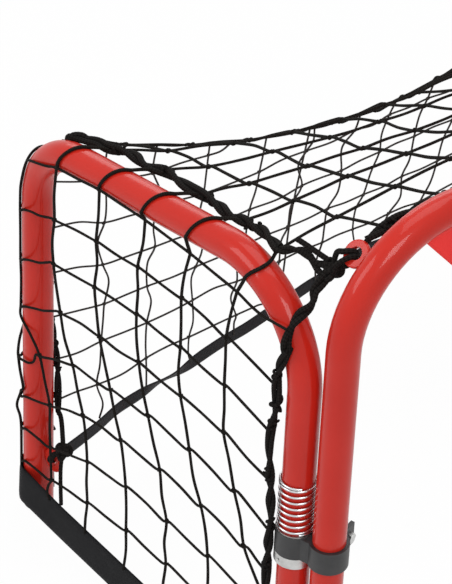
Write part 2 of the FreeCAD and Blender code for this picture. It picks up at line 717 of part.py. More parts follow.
def leg_collar(side_name, side):
    low = "(sizes.clamp_high - sizes.seat_gap - sizes.collar_height)"
    outer = "(%s + sizes.collar_wall)" % TUBE_R
    band = cylinder("CollarBand_" + side_name, outer, "sizes.collar_height")
    bore = cylinder("CollarBore_" + side_name, TUBE_R + " + 0.02", "sizes.collar_height")
    turn = Rotation(Vector(0, 1, 0), side * 90)
    tap = cylinder("CollarTap_" + side_name, "sizes.screw_size / 2", outer + " + 1", "0", "0",
                   "sizes.collar_height / 2", turn)
    tools = fuse("CollarTools_" + side_name, bore, tap)
    collar = cut("Collar_" + side_name, band, tools)
    place(collar, "%d * %s" % (side, LEG_X), LEG_Y, low)
    screw_length = "(sizes.collar_wall - 0.6)"
    stud = cylinder("ScrewBody_" + side_name, "sizes.screw_size / 2 - 0.02", screw_length)
    socket = doc.addObject("Part::Prism", "ScrewSocket_" + side_name)
    socket.Polygon = 6
    socket.setExpression("Circumradius", "sizes.screw_size * 0.28")
    socket.setExpression("Height", screw_length + " / 2")
    place(socket, "0", "0", screw_length + " / 2")
    screw = cut("Screw_" + side_name, stud, socket)
    screw.Placement = Placement(Vector(0, 0, 0), turn)
    place(screw, "%d * (%s + %s + 0.1)" % (side, LEG_X, TUBE_R), LEG_Y, low + " + sizes.collar_height / 2")
    keep(collar, "leg_collar_" + side_name)
    return keep(screw, "collar_screw_" + side_name)


# Fabric band along the foot of a wing: outside both legs and round the back of the rear one

def hem_band(side_name, side):
    inner = value(TUBE_R) + value("sizes.seat_gap")
    outer = inner + value("sizes.hem_thick")
    front = value(LEG_Y)
    rear = value(REAR_Y)
    outline = []
    for radius, forward in ((outer, True), (inner, False)):
        run = [Part.LineSegment(Vector(side * radius, front, 0), Vector(side * radius, rear, 0)),
               Part.Arc(Vector(side * radius, rear, 0), Vector(0, rear + radius, 0),
                        Vector(-side * radius, rear, 0))]
        outline.extend(edge.toShape() for edge in run)
    outline.append(Part.makeLine(Vector(side * inner, front, 0), Vector(side * outer, front, 0)))
    outline.append(Part.makeLine(Vector(-side * inner, rear, 0), Vector(-side * outer, rear, 0)))
    face = Part.Face(Part.Wire(Part.__sortEdges__(outline)))
    solid = face.extrude(Vector(0, 0, value("sizes.hem_height")))
    position = Placement(Vector(side * value(LEG_X), 0, value("sizes.hem_floor")), Rotation())
    return keep(feature("Hem_" + side_name, solid, position), "hem_band_" + side_name)


# Side net: a flat net outside the wing, from the front rope to the rear leg

FRONT_ROPE_BACK = 20.5
FRONT_ROPE_Y = "(%s + %s)" % (LEG_Y, FRONT_ROPE_BACK)
FIRST_COLUMN = "(%s - sizes.side_first)" % REAR_Y


def bar_point(y):
    """Height and fall of the top bar's axis at a place y behind the front leg."""
    slope = math.radians(value("sizes.wing_slope"))
    bend = value("sizes.wing_front_bend")
    behind = y - value(LEG_Y)
    if behind >= bend * (1 + math.sin(slope)):
        return value(CORNER_Z) - behind * math.tan(slope), slope
    angle = math.asin((behind - bend) / bend)
    centre = value("%s - sizes.wing_front_bend * tan((90 + sizes.wing_slope) / 2)" % CORNER_Z)
    return centre + bend * math.cos(angle), angle


def side_row(index):
    """Height that a lengthwise cord of the side net would have at y = 0."""
    fall = math.tan(math.radians(value("sizes.wing_slope")))
    top = value(CORNER_Z) + value(LEG_Y) * fall - value("sizes.side_top")
    return top - index * value("sizes.side_rows")


def side_net(side_name, side):
    low = value("sizes.hem_floor + sizes.hem_height + sizes.seat_gap")
    front = value(FRONT_ROPE_Y) + value("sizes.rope_size") / 2 + value("sizes.seat_gap")
    rear = value(REAR_Y)
    slope = math.tan(math.radians(value("sizes.wing_slope")))
    corner = value(CORNER_Z)
    leg = value(LEG_Y)
    bend = value("sizes.wing_front_bend")

    def top(y):
        return corner - (y - leg) * slope

    outline = [(front, low), (rear, low), (rear, top(rear)), (leg + bend * 1.2, top(leg + bend * 1.2)),
               (front, corner - bend * 0.72)]
    cord = value("sizes.net_cord")
    columns = evenly(value(FIRST_COLUMN), value("sizes.side_mesh"), front, rear)
    rows = evenly(side_row(0), value("sizes.side_rows"), low + front * slope, corner + rear * slope)
    gaps = net_gaps(columns, rows, cord, [inset(outline, cord)], slope)
    inner = value(LEG_X) + value(TUBE_R) + value("sizes.seat_gap")

    def to_space(y, z):
        return Vector(side * inner, y, z)

    face = Part.Face([flat_wire(outline, to_space)] + [flat_wire(gap, to_space) for gap in gaps])
    face.validate()
    solid = face.extrude(Vector(side * value("sizes.net_thick"), 0, 0))
    print("side net: %d gaps" % len(gaps))
    return keep(feature("SideNet_" + side_name, solid), "side_net_" + side_name)


# Sag of the rear top edge and bow of the strap, both round arcs over the width

def arc_height(x, half_width, rise):
    """Height over the lowest point of a round arc that rises by rise at half_width."""
    if rise <= 0:
        return 0
    radius = (half_width * half_width + rise * rise) / (2 * rise)
    return radius - math.sqrt(radius * radius - x * x)


REAR_ROPE_AWAY = "(%s + sizes.rear_rope_size / 2 + sizes.rear_rope_gap)" % TUBE_R
REAR_ROPE_X = "(%s - cos(sizes.rear_rope_angle) * %s)" % (LEG_X, REAR_ROPE_AWAY)
REAR_ROPE_STRAY = 0.8
NET_HALF = "(%s - sizes.rear_rope_size / 2 - %s - sizes.seat_gap)" % (REAR_ROPE_X, REAR_ROPE_STRAY)
NET_Y = "(%s - sizes.tube_od / 4)" % REAR_Y
TIE_OVER = "((sizes.eye_thick + sizes.tie_size) / 2 + 3 * sizes.seat_gap)"
STRAP_HALF = "(%s - %s - sizes.tie_size / 2 - sizes.seat_gap)" % (LEG_X, TIE_OVER)
STRAP_ROUND = 20
STRAP_BOW = 1.4
STRAP_LIFT = 2
STRAP_STRAIGHT = 0.78


def roof_edge(x):
    sag = value("sizes.net_sag")
    return value(REAR_Z) - value("sizes.net_drop") - sag + arc_height(x, value(NET_HALF), sag)


def strap_height(x):
    """Middle of the strap's width: low at the legs, drawn up by the net in the middle."""
    half = value(STRAP_HALF)
    away = math.hypot(x, STRAP_ROUND) / math.hypot(half, STRAP_ROUND)
    return value("sizes.eye_low") + STRAP_LIFT + value("sizes.strap_rise") * (1 - away) ** STRAP_BOW


# Back net: a flat net between the rear legs, from the sagging top edge to the strap

def back_net():
    half = value(NET_HALF)
    cord = value("sizes.net_cord")
    y = value(NET_Y)
    columns = [x for x in evenly(0, value("sizes.back_mesh"), -half, half) if abs(x) < half - cord]
    columns = [-half] + columns + [half]
    over = value("sizes.strap_width") / 2 + value("sizes.seat_gap")
    lower = [(x, strap_height(x) + over) for x in columns]
    upper = [(x, roof_edge(x)) for x in columns]
    first_row = value("sizes.eye_low + sizes.strap_width")
    rows = evenly(first_row, value("sizes.back_rows"), first_row - over, roof_edge(half))
    gaps = []
    for index, (left, right) in enumerate(zip(columns, columns[1:])):
        limits = [far_side(lower[index], lower[index + 1], cord, True),
                  far_side(upper[index], upper[index + 1], cord, False),
                  far_side((cord - half, 0), (cord - half, 1), 0, False),
                  far_side((half - cord, 0), (half - cord, 1), 0, True)]
        gaps.extend(net_gaps([left, right], rows, cord, limits))

    def to_space(x, z):
        return Vector(x, y, z)

    outline = lower + upper[::-1]
    face = Part.Face([flat_wire(outline, to_space)] + [flat_wire(gap, to_space) for gap in gaps])
    face.validate()
    solid = face.extrude(Vector(0, -value("sizes.net_thick"), 0))
    print("back net: %d gaps" % len(gaps))
    return keep(feature("BackNet", solid), "back_net")


def far_side(a, b, margin, above):
    """A large square over or under the line through a and b, a margin away from it."""
    length = math.hypot(b[0] - a[0], b[1] - a[1])
    ux, uy = (b[0] - a[0]) / length, (b[1] - a[1]) / length
    nx, ny = (-uy, ux) if above else (uy, -ux)
    ox, oy = a[0] + nx * margin, a[1] + ny * margin
    big = 3 * value("sizes.front_width")
    corners = [(ox - ux * big, oy - uy * big), (ox + ux * big, oy + uy * big),
               (ox + ux * big + nx * big, oy + uy * big + ny * big),
               (ox - ux * big + nx * big, oy - uy * big + ny * big)]
    if polygon_area(corners) < 0:
        corners.reverse()
    return corners


# Top net: from the rope behind the crossbar back to the sagging rear edge

CROSS_ROPE_Y = "(%s + %s + sizes.rope_size / 2 + sizes.cross_rope_gap)" % (POST_Y, TUBE_R)
CROSS_ROPE_Z = "(%s - sizes.cross_rope_drop)" % BAR_Z
ROPE_AWAY = "(%s + sizes.rope_size / 2 + sizes.rope_gap)" % TUBE_R
ROPE_IN = "(%s - cos(sizes.rope_angle) * %s)" % (LEG_X, ROPE_AWAY)
ROOF_HALF = "(%s - sizes.rope_size / 2 - sizes.rope_slack - sizes.seat_gap)" % ROPE_IN
BEND_CLEAR = 4
UNDER_ROPE = 2
ROOF_START = 40


def roof_shape():
    """Half outline of the top net: the front edge, its corner and its edge beside the wing."""
    front = value(CROSS_ROPE_Y) + value("sizes.rope_size") / 2 + value("sizes.seat_gap")
    front_half = value(POST_X) - value("sizes.front_bend") - BEND_CLEAR
    front_z = value(CROSS_ROPE_Z) - UNDER_ROPE
    side_y = value(LEG_Y) + ROOF_START
    side_z = top_rope_line(side_y)[1] - 3 * UNDER_ROPE
    return Vector(front_half, front, front_z), Vector(value(ROOF_HALF), side_y, side_z)


def top_net():
    edge, side_start = roof_shape()
    half = side_start.x
    rear = value(NET_Y) - value("sizes.net_thick") - value("sizes.seat_gap")
    thick = value("sizes.net_thick")
    stations = [Vector(edge.x * part, edge.y, edge.z) for part in (0, 1 / 3, 2 / 3, 1)]
    stations += [(edge + side_start) * 0.5, side_start]
    stations = [Vector(-place.x, place.y, place.z) for place in reversed(stations[1:])] + stations
    shell = None
    for left, right in zip(stations, stations[1:]):
        ends = [Vector(place.x, rear, roof_edge(place.x) - thick) for place in (left, right)]
        middles = []
        for place, end in zip((left, right), ends):
            swell = value("sizes.roof_swell") * (1 - (place.x / half) ** 2)
            middles.append((place + end) * 0.5 + Vector(0, 0, swell))
        for triangle in ((left, right, middles[1]), (left, middles[1], middles[0]),
                         (middles[0], middles[1], ends[1]), (middles[0], ends[1], ends[0])):
            wire = Part.makePolygon(list(triangle) + [triangle[0]])
            slab = Part.Face(wire).extrude(Vector(0, 0, thick))
            shell = slab if shell is None else shell.fuse(slab)
    shell = shell.removeSplitter()
    cord = value("sizes.net_cord")
    outline = [(-edge.x, edge.y), (edge.x, edge.y), (half, side_start.y), (half, rear),
               (-half, rear), (-half, side_start.y)]
    columns = evenly(0, value("sizes.roof_mesh"), -half, half)
    rows = evenly(value(FIRST_COLUMN + " - sizes.wrap_lean"), value("sizes.side_mesh"), edge.y, rear)
    gaps = net_gaps(columns, rows, cord, [inset(outline, cord)])
    prisms = []
    for gap in gaps:
        wire = flat_wire(gap, lambda x, y: Vector(x, y, 0))
        prisms.append(Part.Face(wire).extrude(Vector(0, 0, value("sizes.front_height"))))
    solid = shell.cut(Part.makeCompound(prisms))
    print("top net: %d gaps, %d solids" % (len(gaps), len(solid.Solids)))
    return keep(feature("TopNet", solid.Solids[0]), "top_net")


# Bottom strap: flat webbing between the rings of the rear legs, bowed back and up in the middle

def back_strap():
    width = value("sizes.strap_width")
    thick = value("sizes.strap_thick")
    half = value(STRAP_HALF)
    y_back = value(NET_Y) + value("sizes.seat_gap") + thick
    y_ends = value(REAR_Y) - value(EYE_OFFSET) + thick / 2
    steps = 14
    sections = []
    for index in range(steps + 1):
        x = half * (2 * index / steps - 1)
        part = abs(x) / half
        y = y_back - (y_back - y_ends) * max(part - STRAP_STRAIGHT, 0) / (1 - STRAP_STRAIGHT)
        z = strap_height(x)
        corners = [Vector(x, y - thick, z - width / 2), Vector(x, y, z - width / 2),
                   Vector(x, y, z + width / 2), Vector(x, y - thick, z + width / 2)]
        sections.append(Part.makePolygon(corners + [corners[0]]))
    solid = Part.makeLoft(sections, True, True)
    return keep(feature("BackStrap", solid), "back_strap")


# Cloth target: a bare cloth with slanted sides, hung under the crossbar by webbing loops

CLOTH_TOP_Z = "(%s - %s - sizes.cloth_gap)" % (BAR_Z, TUBE_R)


def target_cloth():
    body = doc.addObject("PartDesign::Body", "TargetCloth")
    sketch = new_sketch(body, "XZ_Plane", "ClothOutline")
    half = value("sizes.cloth_top") / 2
    top = value(CLOTH_TOP_Z)
    narrow = half - value("sizes.cloth_drop / tan(sizes.cloth_slant)")
    low = top - value("sizes.cloth_drop")
    corners = [Vector(-half, top, 0), Vector(-narrow, low, 0), Vector(narrow, low, 0), Vector(half, top, 0)]
    edges = [Part.LineSegment(corners[index], corners[(index + 1) % 4]) for index in range(4)]
    sketch.addGeometry(edges, False)
    for index in range(4):
        fix(sketch, "Coincident", index, 2, (index + 1) % 4, 1)
    fix(sketch, "Symmetric", 0, 1, 2, 2, -2)
    fix(sketch, "Symmetric", 0, 2, 1, 2, -2)
    bind(sketch, "width", "sizes.cloth_top", "DistanceX", 0, 1, 2, 2)
    bind(sketch, "foot", "sizes.cloth_top - 2 * sizes.cloth_drop / tan(sizes.cloth_slant)",
         "DistanceX", 1, 1, 1, 2)
    bind(sketch, "top", CLOTH_TOP_Z, "DistanceY", -1, 1, 0, 1)
    bind(sketch, "drop", "sizes.cloth_drop", "DistanceY", 1, 1, 0, 1)
    doc.recompute()
    pad = body.newObject("PartDesign::Pad", "ClothPad")
    pad.Profile = sketch
    pad.setExpression("Length", "sizes.cloth_thick")
    pad.Midplane = True
    place(body, "0", POST_Y)
    doc.recompute()
    return keep(body, "target_cloth")


def cloth_loops():
    loops = []
    inner = "(%s + sizes.seat_gap)" % TUBE_R
    outer = "(%s + sizes.loop_thick)" % inner
    turn = Rotation(Vector(0, 1, 0), 90)
    for index in (-1, 0, 1):
        mark = "%d" % (index + 1)
        left = "%d * sizes.loop_spread - sizes.loop_width / 2" % index
        band = cylinder("LoopBand_" + mark, outer, "sizes.loop_width", left, POST_Y, BAR_Z, turn)
        tab_y = POST_Y + " - sizes.cloth_thick / 2 - sizes.seat_gap - sizes.loop_thick"
        tab_low = "(%s - %s - sizes.loop_tab)" % (BAR_Z, outer)
        tab = box("LoopTab_" + mark, "sizes.loop_width", "sizes.loop_thick",
                  "sizes.loop_tab + sizes.loop_thick", left, tab_y, tab_low)
        hole = cylinder("LoopHole_" + mark, inner, "sizes.loop_width", left, POST_Y, BAR_Z, turn)
        loops.append(cut("Loop_" + mark, fuse("LoopBlock_" + mark, band, tab), hole))
    group = doc.addObject("Part::Compound", "ClothLoops")
    group.Links = loops
    return keep(group, "cloth_loops")


# Ropes of a wing: their routes as photographed, as offsets from the bars that carry them

TOP_ROPE_FRONT = 57
TOP_ROPE_REAR = 27


def top_rope_line(y):
    """Distance inside the leg's axis and height of the top rope where it lies on the bar."""
    slope = math.tan(math.radians(value("sizes.wing_slope")))
    rise = value("%s * sin(sizes.rope_angle)" % ROPE_AWAY)
    return value(ROPE_IN), value(CORNER_Z) - (y - value(LEG_Y)) * slope + rise


def top_rope_end(side):
    """Front end of the top rope and the direction in which it leaves."""
    slope = math.radians(value("sizes.wing_slope"))
    y = value(LEG_Y) + TOP_ROPE_FRONT
    x, z = top_rope_line(y)
    return Vector(side * x, y, z), Vector(0, -math.cos(slope), math.sin(slope))


def top_rope(side_name, side):
    end, forward = top_rope_end(side)
    rear = value(REAR_Y) - TOP_ROPE_REAR
    slack = value("sizes.rope_slack")
    inward = (1.5, 0.5, slack - 1, slack / 2, slack, slack / 2, 1, 1, 0)
    lower = (2.5, 0.5, 0, 0.4, 0, 0.3, 0, 0.2, 0)
    points = []
    for index, shift in enumerate(inward):
        y = rear + (end.y - rear) * index / (len(inward) - 1)
        x, z = top_rope_line(y)
        points.append(Vector(side * (x - shift), y, z - lower[index]))
    solid = rope_solid(points, value("sizes.rope_size"), "top rope")
    return keep(feature("TopRope_" + side_name, solid), "top_rope_" + side_name)


FRONT_ROPE_ROUTE = (
    (19.5, 3, -62), (20.8, 10.5, -84), (17.4, 16.5, -107), (17.0, 13, -135), (16.5, 20.2, -181),
    (18.2, 15, -219), (19.2, 14, -249), (20.6, 12.4, -273), (19.6, 15.4, -296), (17.6, 18, -328),
    (16.6, 19.5, -373), (17.1, 18.8, -418), (16.8, 19.6, -462), (17.0, 19, -505),
)


def front_rope_points(side):
    """Outward from the leg's axis, back from it and down from the wing's front corner."""
    base = Vector(side * value(LEG_X), value(LEG_Y), value(CORNER_Z))
    return [base + Vector(side * out, back, down) for out, back, down in FRONT_ROPE_ROUTE]


def front_rope(side_name, side):
    solid = rope_solid(front_rope_points(side), value("sizes.front_rope_size"), "front rope")
    return keep(feature("FrontRope_" + side_name, solid), "front_rope_" + side_name)


REAR_ROPE_DOWN = 47
REAR_ROPE_UP = 46


def rear_rope(side_name, side):
    x = value(REAR_ROPE_X)
    y = value("%s - %s * sin(sizes.rear_rope_angle)" % (REAR_Y, REAR_ROPE_AWAY))
    top = value(REAR_Z) - REAR_ROPE_DOWN
    low = value("sizes.eye_low") + REAR_ROPE_UP
    wander = (0, 0.6, 0, REAR_ROPE_STRAY, 0.1, 0.6, 0)
    points = []
    for index, shift in enumerate(wander):
        z = top + (low - top) * index / (len(wander) - 1)
        points.append(Vector(side * (x - shift), y - shift, z))
    solid = rope_solid(points, value("sizes.rear_rope_size"), "rear rope")
    return keep(feature("RearRope_" + side_name, solid), "rear_rope_" + side_name)


# Knots: a pulled-tight knot, with a loop through its ring where it ties one

def knot_solid(centre, radius):
    return Part.makeSphere(radius, centre)


TIE_LOOSE = 1.5
TIE_IN_HOLE = 0.5


def ring_tie(eye, towards, normal, knot, radius, label):
    """A knot and its loop: over the ring's rim, through the hole and back under it."""
    tie = value("sizes.tie_size")
    over = value(TIE_OVER)
    far = value("sizes.eye_outer") / 2 + tie / 2 + TIE_LOOSE
    near = TIE_IN_HOLE
    apart = tie / 2 + TIE_IN_HOLE
    points = [knot + normal * apart,
              eye + towards * far + normal * over,
              eye + towards * near + normal * over,
              eye + towards * near - normal * over,
              eye + towards * far - normal * over,
              knot - normal * apart]
    loop = rope_solid(points, tie, label)
    return knot_solid(knot, radius).fuse(loop)


def corner_eye_centre(side):
    return Vector(side * value(CORNER_EYE_X), value(CORNER_EYE_Y), value(CORNER_EYE_Z))


KNOT_GAP = 0.6
CORNER_KNOT_SIZE = 12
LOWER_KNOT_SIZE = 9
REAR_KNOT_SIZE = 7.5
CORNER_KNOT_OUT, CORNER_KNOT_BACK, CORNER_KNOT_DOWN = 14.8, 22, 19
LOWER_KNOT_IN, LOWER_KNOT_FORWARD, LOWER_KNOT_UP = 1, 15, 29
REAR_KNOT_IN = 2


def corner_knot_centre(side):
    return corner_eye_centre(side) + Vector(side * CORNER_KNOT_OUT, CORNER_KNOT_BACK, -CORNER_KNOT_DOWN)


def ring_normal(side):
    """Axis of the upper ring: across the corner bend, away from its centre."""
    angle = math.radians(value("sizes.eye_angle"))
    return Vector(side * math.cos(angle), 0, math.sin(angle))


def corner_knot(side_name, side):
    eye = corner_eye_centre(side)
    normal = ring_normal(side)
    towards = corner_knot_centre(side) - eye
    towards = (towards - normal * towards.dot(normal)).normalize()
    solid = ring_tie(eye, towards, normal, corner_knot_centre(side), CORNER_KNOT_SIZE, "corner tie")
    return keep(feature("CornerKnot_" + side_name, solid), "corner_knot_" + side_name)


def lower_knot(side_name, side):
    eye = Vector(side * value(LEG_X), value(REAR_Y) - value(EYE_OFFSET), value("sizes.eye_low"))
    towards = Vector(0, -LOWER_KNOT_FORWARD, LOWER_KNOT_UP).normalize()
    knot = eye + Vector(-side * LOWER_KNOT_IN, -LOWER_KNOT_FORWARD, LOWER_KNOT_UP)
    solid = ring_tie(eye, towards, Vector(1, 0, 0), knot, LOWER_KNOT_SIZE, "lower tie")
    return keep(feature("LowerKnot_" + side_name, solid), "lower_knot_" + side_name)


def rear_knot(side_name, side):
    y = value(REAR_Y) - TOP_ROPE_REAR + REAR_KNOT_SIZE + KNOT_GAP + value("sizes.seat_gap")
    x, z = top_rope_line(y)
    centre = Vector(side * (x - REAR_KNOT_IN), y, z)
    return keep(feature("RearKnot_" + side_name, knot_solid(centre, REAR_KNOT_SIZE)),
                "rear_knot_" + side_name)


# Free ends of rope between the fixed corner knot and the ropes of the wing

LASH_GAP = 0.4


def corner_lashing(side_name, side):
    knot = corner_knot_centre(side)
    surface = CORNER_KNOT_SIZE + KNOT_GAP
    end, forward = top_rope_end(side)
    bend = end + forward * 14
    start = knot + (bend - knot).normalize() * surface
    route = [start, bend, end + forward * LASH_GAP]
    first = rope_solid(route, value("sizes.rope_size"), "lashing to the top rope")
    below = front_rope_points(side)
    upward = (below[0] - below[1]).normalize()
    base = Vector(side * value(LEG_X), value(LEG_Y), value(CORNER_Z))
    turns = [base + Vector(side * -10, 6, -15.5), base + Vector(side * 6, 1, -29), below[0] + upward * 17]
    start = knot + (turns[0] - knot).normalize() * surface
    route = [start] + turns + [below[0] + upward * LASH_GAP]
    second = rope_solid(route, value("sizes.front_rope_size"), "lashing to the front rope")
    shape = Part.makeCompound([first, second])
    return keep(feature("CornerLashing_" + side_name, shape), "corner_lashing_" + side_name)


# Rope behind the crossbar that carries the front edge of the top net

CROSS_RUNS = 8
CROSS_START = 45
CROSS_WAVE = 0.6


def crossbar_rope():
    rim = value("sizes.eye_outer") / 2 + KNOT_GAP
    across = Vector(-ring_normal(1).z, 0, ring_normal(1).x)
    y = value(CROSS_ROPE_Y)
    z = value(CROSS_ROPE_Z)
    straight = value(POST_X) - value("sizes.front_bend")
    inner = straight - CROSS_START
    half = [corner_eye_centre(1) + across * rim,
            Vector(straight + 49, y + 4.5, z - 7), Vector(straight + 24, y + 2, z - 1.6),
            Vector(straight - 4, y, z), Vector(inner, y, z + CROSS_WAVE)]
    run = 2 * inner / CROSS_RUNS
    middle = [Vector(inner - run * index, y, z + (CROSS_WAVE if index % 2 == 0 else -CROSS_WAVE))
              for index in range(1, CROSS_RUNS)]
    other = [Vector(-point.x, point.y, point.z) for point in reversed(half)]
    solid = rope_solid(half + middle + other, value("sizes.rope_size"), "crossbar rope")
    return keep(feature("CrossbarRope", solid), "crossbar_rope")


# Net cords that wrap over the top bar and round the rear leg, one for each cord of the side net

BAR_WRAP = 112
LEG_WRAP = 150
WRAP_START = 2
WRAP_DIP = 6


def net_lacing(side_name, side):
    cord = value("sizes.cord_size")
    ring = value(TUBE_R) + value("sizes.seat_gap") + cord / 2
    origin, upward = Vector(0, 0, 0), Vector(0, 0, 1)
    pieces = []
    start = value(LEG_Y) + value("sizes.wing_front_bend") / 2
    columns = evenly(value(FIRST_COLUMN), value("sizes.side_mesh"), start, value(FIRST_COLUMN))
    for y in columns:
        if y < start:
            continue
        z, fall = bar_point(y)
        arc = Part.makeTorus(ring, cord / 2, origin, upward, -180, 180, BAR_WRAP)
        arc.rotate(origin, upward, WRAP_START)
        pieces.append(wrap_arc(arc, side, Vector(side * value(LEG_X), y, z), -math.degrees(fall)))
    low = value("sizes.hem_floor + sizes.hem_height") + value("sizes.side_rows") / 2
    lean = WRAP_START if side > 0 else 180 - LEG_WRAP - WRAP_START
    index = 0
    rear_fall = value(REAR_Y) * math.tan(math.radians(value("sizes.wing_slope")))
    while side_row(index) - rear_fall > low:
        arc = Part.makeTorus(ring, cord / 2, origin, upward, -180, 180, LEG_WRAP)
        arc.rotate(origin, upward, lean)
        arc.rotate(origin, Vector(0, 1, 0), side * WRAP_DIP)
        arc.translate(Vector(side * value(LEG_X), value(REAR_Y), side_row(index) - rear_fall))
        pieces.append(arc)
        index += 1
    shape = Part.makeCompound(pieces)
    print("net lacing: %d wraps" % len(pieces))
    return keep(feature("Lacing_" + side_name, shape), "net_lacing_" + side_name)


def wrap_arc(arc, side, centre, tilt):
    """Stands an arc of a ring across the top bar, from its outer side over the top."""
    arc.rotate(Vector(0, 0, 0), Vector(1, 0, 0), 90)
    if side < 0:
        arc = arc.mirror(Vector(0, 0, 0), Vector(1, 0, 0))
    arc.rotate(Vector(0, 0, 0), Vector(1, 0, 0), tilt)
    arc.translate(centre)
    return arc


front_frame()
for side_name, side in SIDES:
    post_x = "%d * %s" % (side, POST_X)
    leg_x = "%d * %s" % (side, LEG_X)
    wing_tube(side_name, side)
    foot_cap("post_cap_" + side_name, post_x, POST_Y)
    foot_cap("front_leg_cap_" + side_name, leg_x, LEG_Y)
    foot_cap("rear_leg_cap_" + side_name, leg_x, REAR_Y)
    corner_eye(side_name, side)
    lower_eye(side_name, side)
    hinge_clamp("lower_clamp_" + side_name, side, "sizes.clamp_low")
    hinge_clamp("upper_clamp_" + side_name, side, "sizes.clamp_high")
    leg_washer(side_name, side)
    leg_spring(side_name, side)
    leg_collar(side_name, side)
    hem_band(side_name, side)
    side_net(side_name, side)
    top_rope(side_name, side)
    front_rope(side_name, side)
    rear_rope(side_name, side)
    corner_knot(side_name, side)
    lower_knot(side_name, side)
    rear_knot(side_name, side)
    corner_lashing(side_name, side)
    net_lacing(side_name, side)
fasteners()
crossbar_rope()
top_net()
back_net()
back_strap()
target_cloth()
cloth_loops()
doc.recompute()

# Checks, then one STEP file for each sub-part
for item in doc.Objects:
    if "Invalid" in item.State or "Error" in item.State:
        raise RuntimeError("%s did not compute: %s" % (item.Label, item.State))
for item in parts:
    if item.Shape.isNull() or not item.Shape.isValid():
        raise RuntimeError("%s has no valid shape" % item.Label)
os.makedirs("parts", exist_ok=True)
total = 0
for item in parts:
    facets = MeshPart.meshFromShape(Shape=item.Shape, LinearDeflection=0.3, AngularDeflection=0.6).CountFacets
    total += facets
    print("%-24s solids %2d  volume %10.0f  facets %5d"
          % (item.Label, len(item.Shape.Solids), item.Shape.Volume, facets))
    item.Shape.exportStep("parts/%s.step" % item.Label)
print("sub-parts %d, facets %d" % (len(parts), total))
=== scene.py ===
import json
import math

import bpy
import numpy as np
from mathutils import Matrix, Vector

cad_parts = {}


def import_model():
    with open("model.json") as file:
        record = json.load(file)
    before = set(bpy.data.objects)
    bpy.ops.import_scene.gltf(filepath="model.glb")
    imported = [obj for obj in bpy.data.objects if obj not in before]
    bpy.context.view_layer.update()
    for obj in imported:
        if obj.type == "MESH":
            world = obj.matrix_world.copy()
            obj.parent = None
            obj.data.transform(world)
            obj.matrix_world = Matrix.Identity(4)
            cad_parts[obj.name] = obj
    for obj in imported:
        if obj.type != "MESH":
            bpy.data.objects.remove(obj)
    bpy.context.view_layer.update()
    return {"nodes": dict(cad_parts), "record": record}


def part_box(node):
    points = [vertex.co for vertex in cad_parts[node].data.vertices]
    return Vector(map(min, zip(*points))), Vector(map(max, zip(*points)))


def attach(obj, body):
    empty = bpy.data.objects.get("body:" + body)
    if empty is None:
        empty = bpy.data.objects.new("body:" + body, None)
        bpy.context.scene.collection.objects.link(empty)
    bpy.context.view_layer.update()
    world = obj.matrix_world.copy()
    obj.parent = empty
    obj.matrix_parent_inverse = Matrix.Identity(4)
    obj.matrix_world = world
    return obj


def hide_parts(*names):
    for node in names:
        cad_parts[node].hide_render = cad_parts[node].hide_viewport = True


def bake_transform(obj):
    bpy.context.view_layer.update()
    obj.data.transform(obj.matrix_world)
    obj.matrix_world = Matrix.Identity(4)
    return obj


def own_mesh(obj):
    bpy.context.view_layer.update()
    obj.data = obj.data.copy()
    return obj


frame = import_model()

# A small street hockey goal, seen from its front left and above. Lengths below are in millimetres,
# and meshes are scaled to metres when they are made.

MM = 0.001
SIDES = (("left", -1), ("right", 1))


def middle(node):
    low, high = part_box(node)
    return (low + high) / 2 / MM


# Places taken from the frame
POST_X, POST_Y, _ = middle("post_cap_right")
LEG_X, LEG_Y, _ = middle("front_leg_cap_right")
REAR_Y = middle("rear_leg_cap_right").y
TUBE_R = (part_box("rear_leg_cap_right")[1].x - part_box("rear_leg_cap_right")[0].x) / 2 / MM
BAR_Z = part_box("front_frame")[1].z / MM - TUBE_R
EYE_LOW = middle("lower_eye_right").z
CORNER_EYE = middle("corner_eye_right")
HEM_LOW, HEM_TOP = (corner.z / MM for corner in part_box("hem_band_left"))
CLOTH_LOW, CLOTH_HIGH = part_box("target_cloth")

# Sizes of the goal frame and the wings
WING_DROP = 56
WING_SLOPE = math.radians(11)
FRONT_BEND = 98
REAR_BEND = 84
CORNER_BEND = 112
FALL = math.tan(WING_SLOPE)
CORNER_Z = BAR_Z - WING_DROP
REAR_Z = CORNER_Z - (REAR_Y - LEG_Y) * FALL

# Strands of the ropes, and cords of the nets
STRAND = 5.8
FRONT_STRAND = 4.9
REAR_STRAND = 4.3
TIE = 5.4
NET_CORD = 3.3
UPRIGHT = NET_CORD * 0.45
LENGTHWISE = NET_CORD * 0.42
WRAP = NET_CORD * 0.54
BACK_CORD = 2.2

# Where the border ropes lie beside the tubes
ROPE_SIZE = 8.4
ROPE_AWAY = TUBE_R + ROPE_SIZE / 2 + 1
ROPE_ANGLE = math.radians(40.5)
ROPE_X = LEG_X - ROPE_AWAY * math.cos(ROPE_ANGLE)
ROPE_RISE = ROPE_AWAY * math.sin(ROPE_ANGLE)
CROSS_ROPE_Y = POST_Y + TUBE_R + ROPE_SIZE / 2 + 1.3
CROSS_ROPE_Z = BAR_Z - 6
LEG_TOUCH = TUBE_R + NET_CORD / 2 + 0.2
NET_Y = REAR_Y - TUBE_R / 2


# Materials

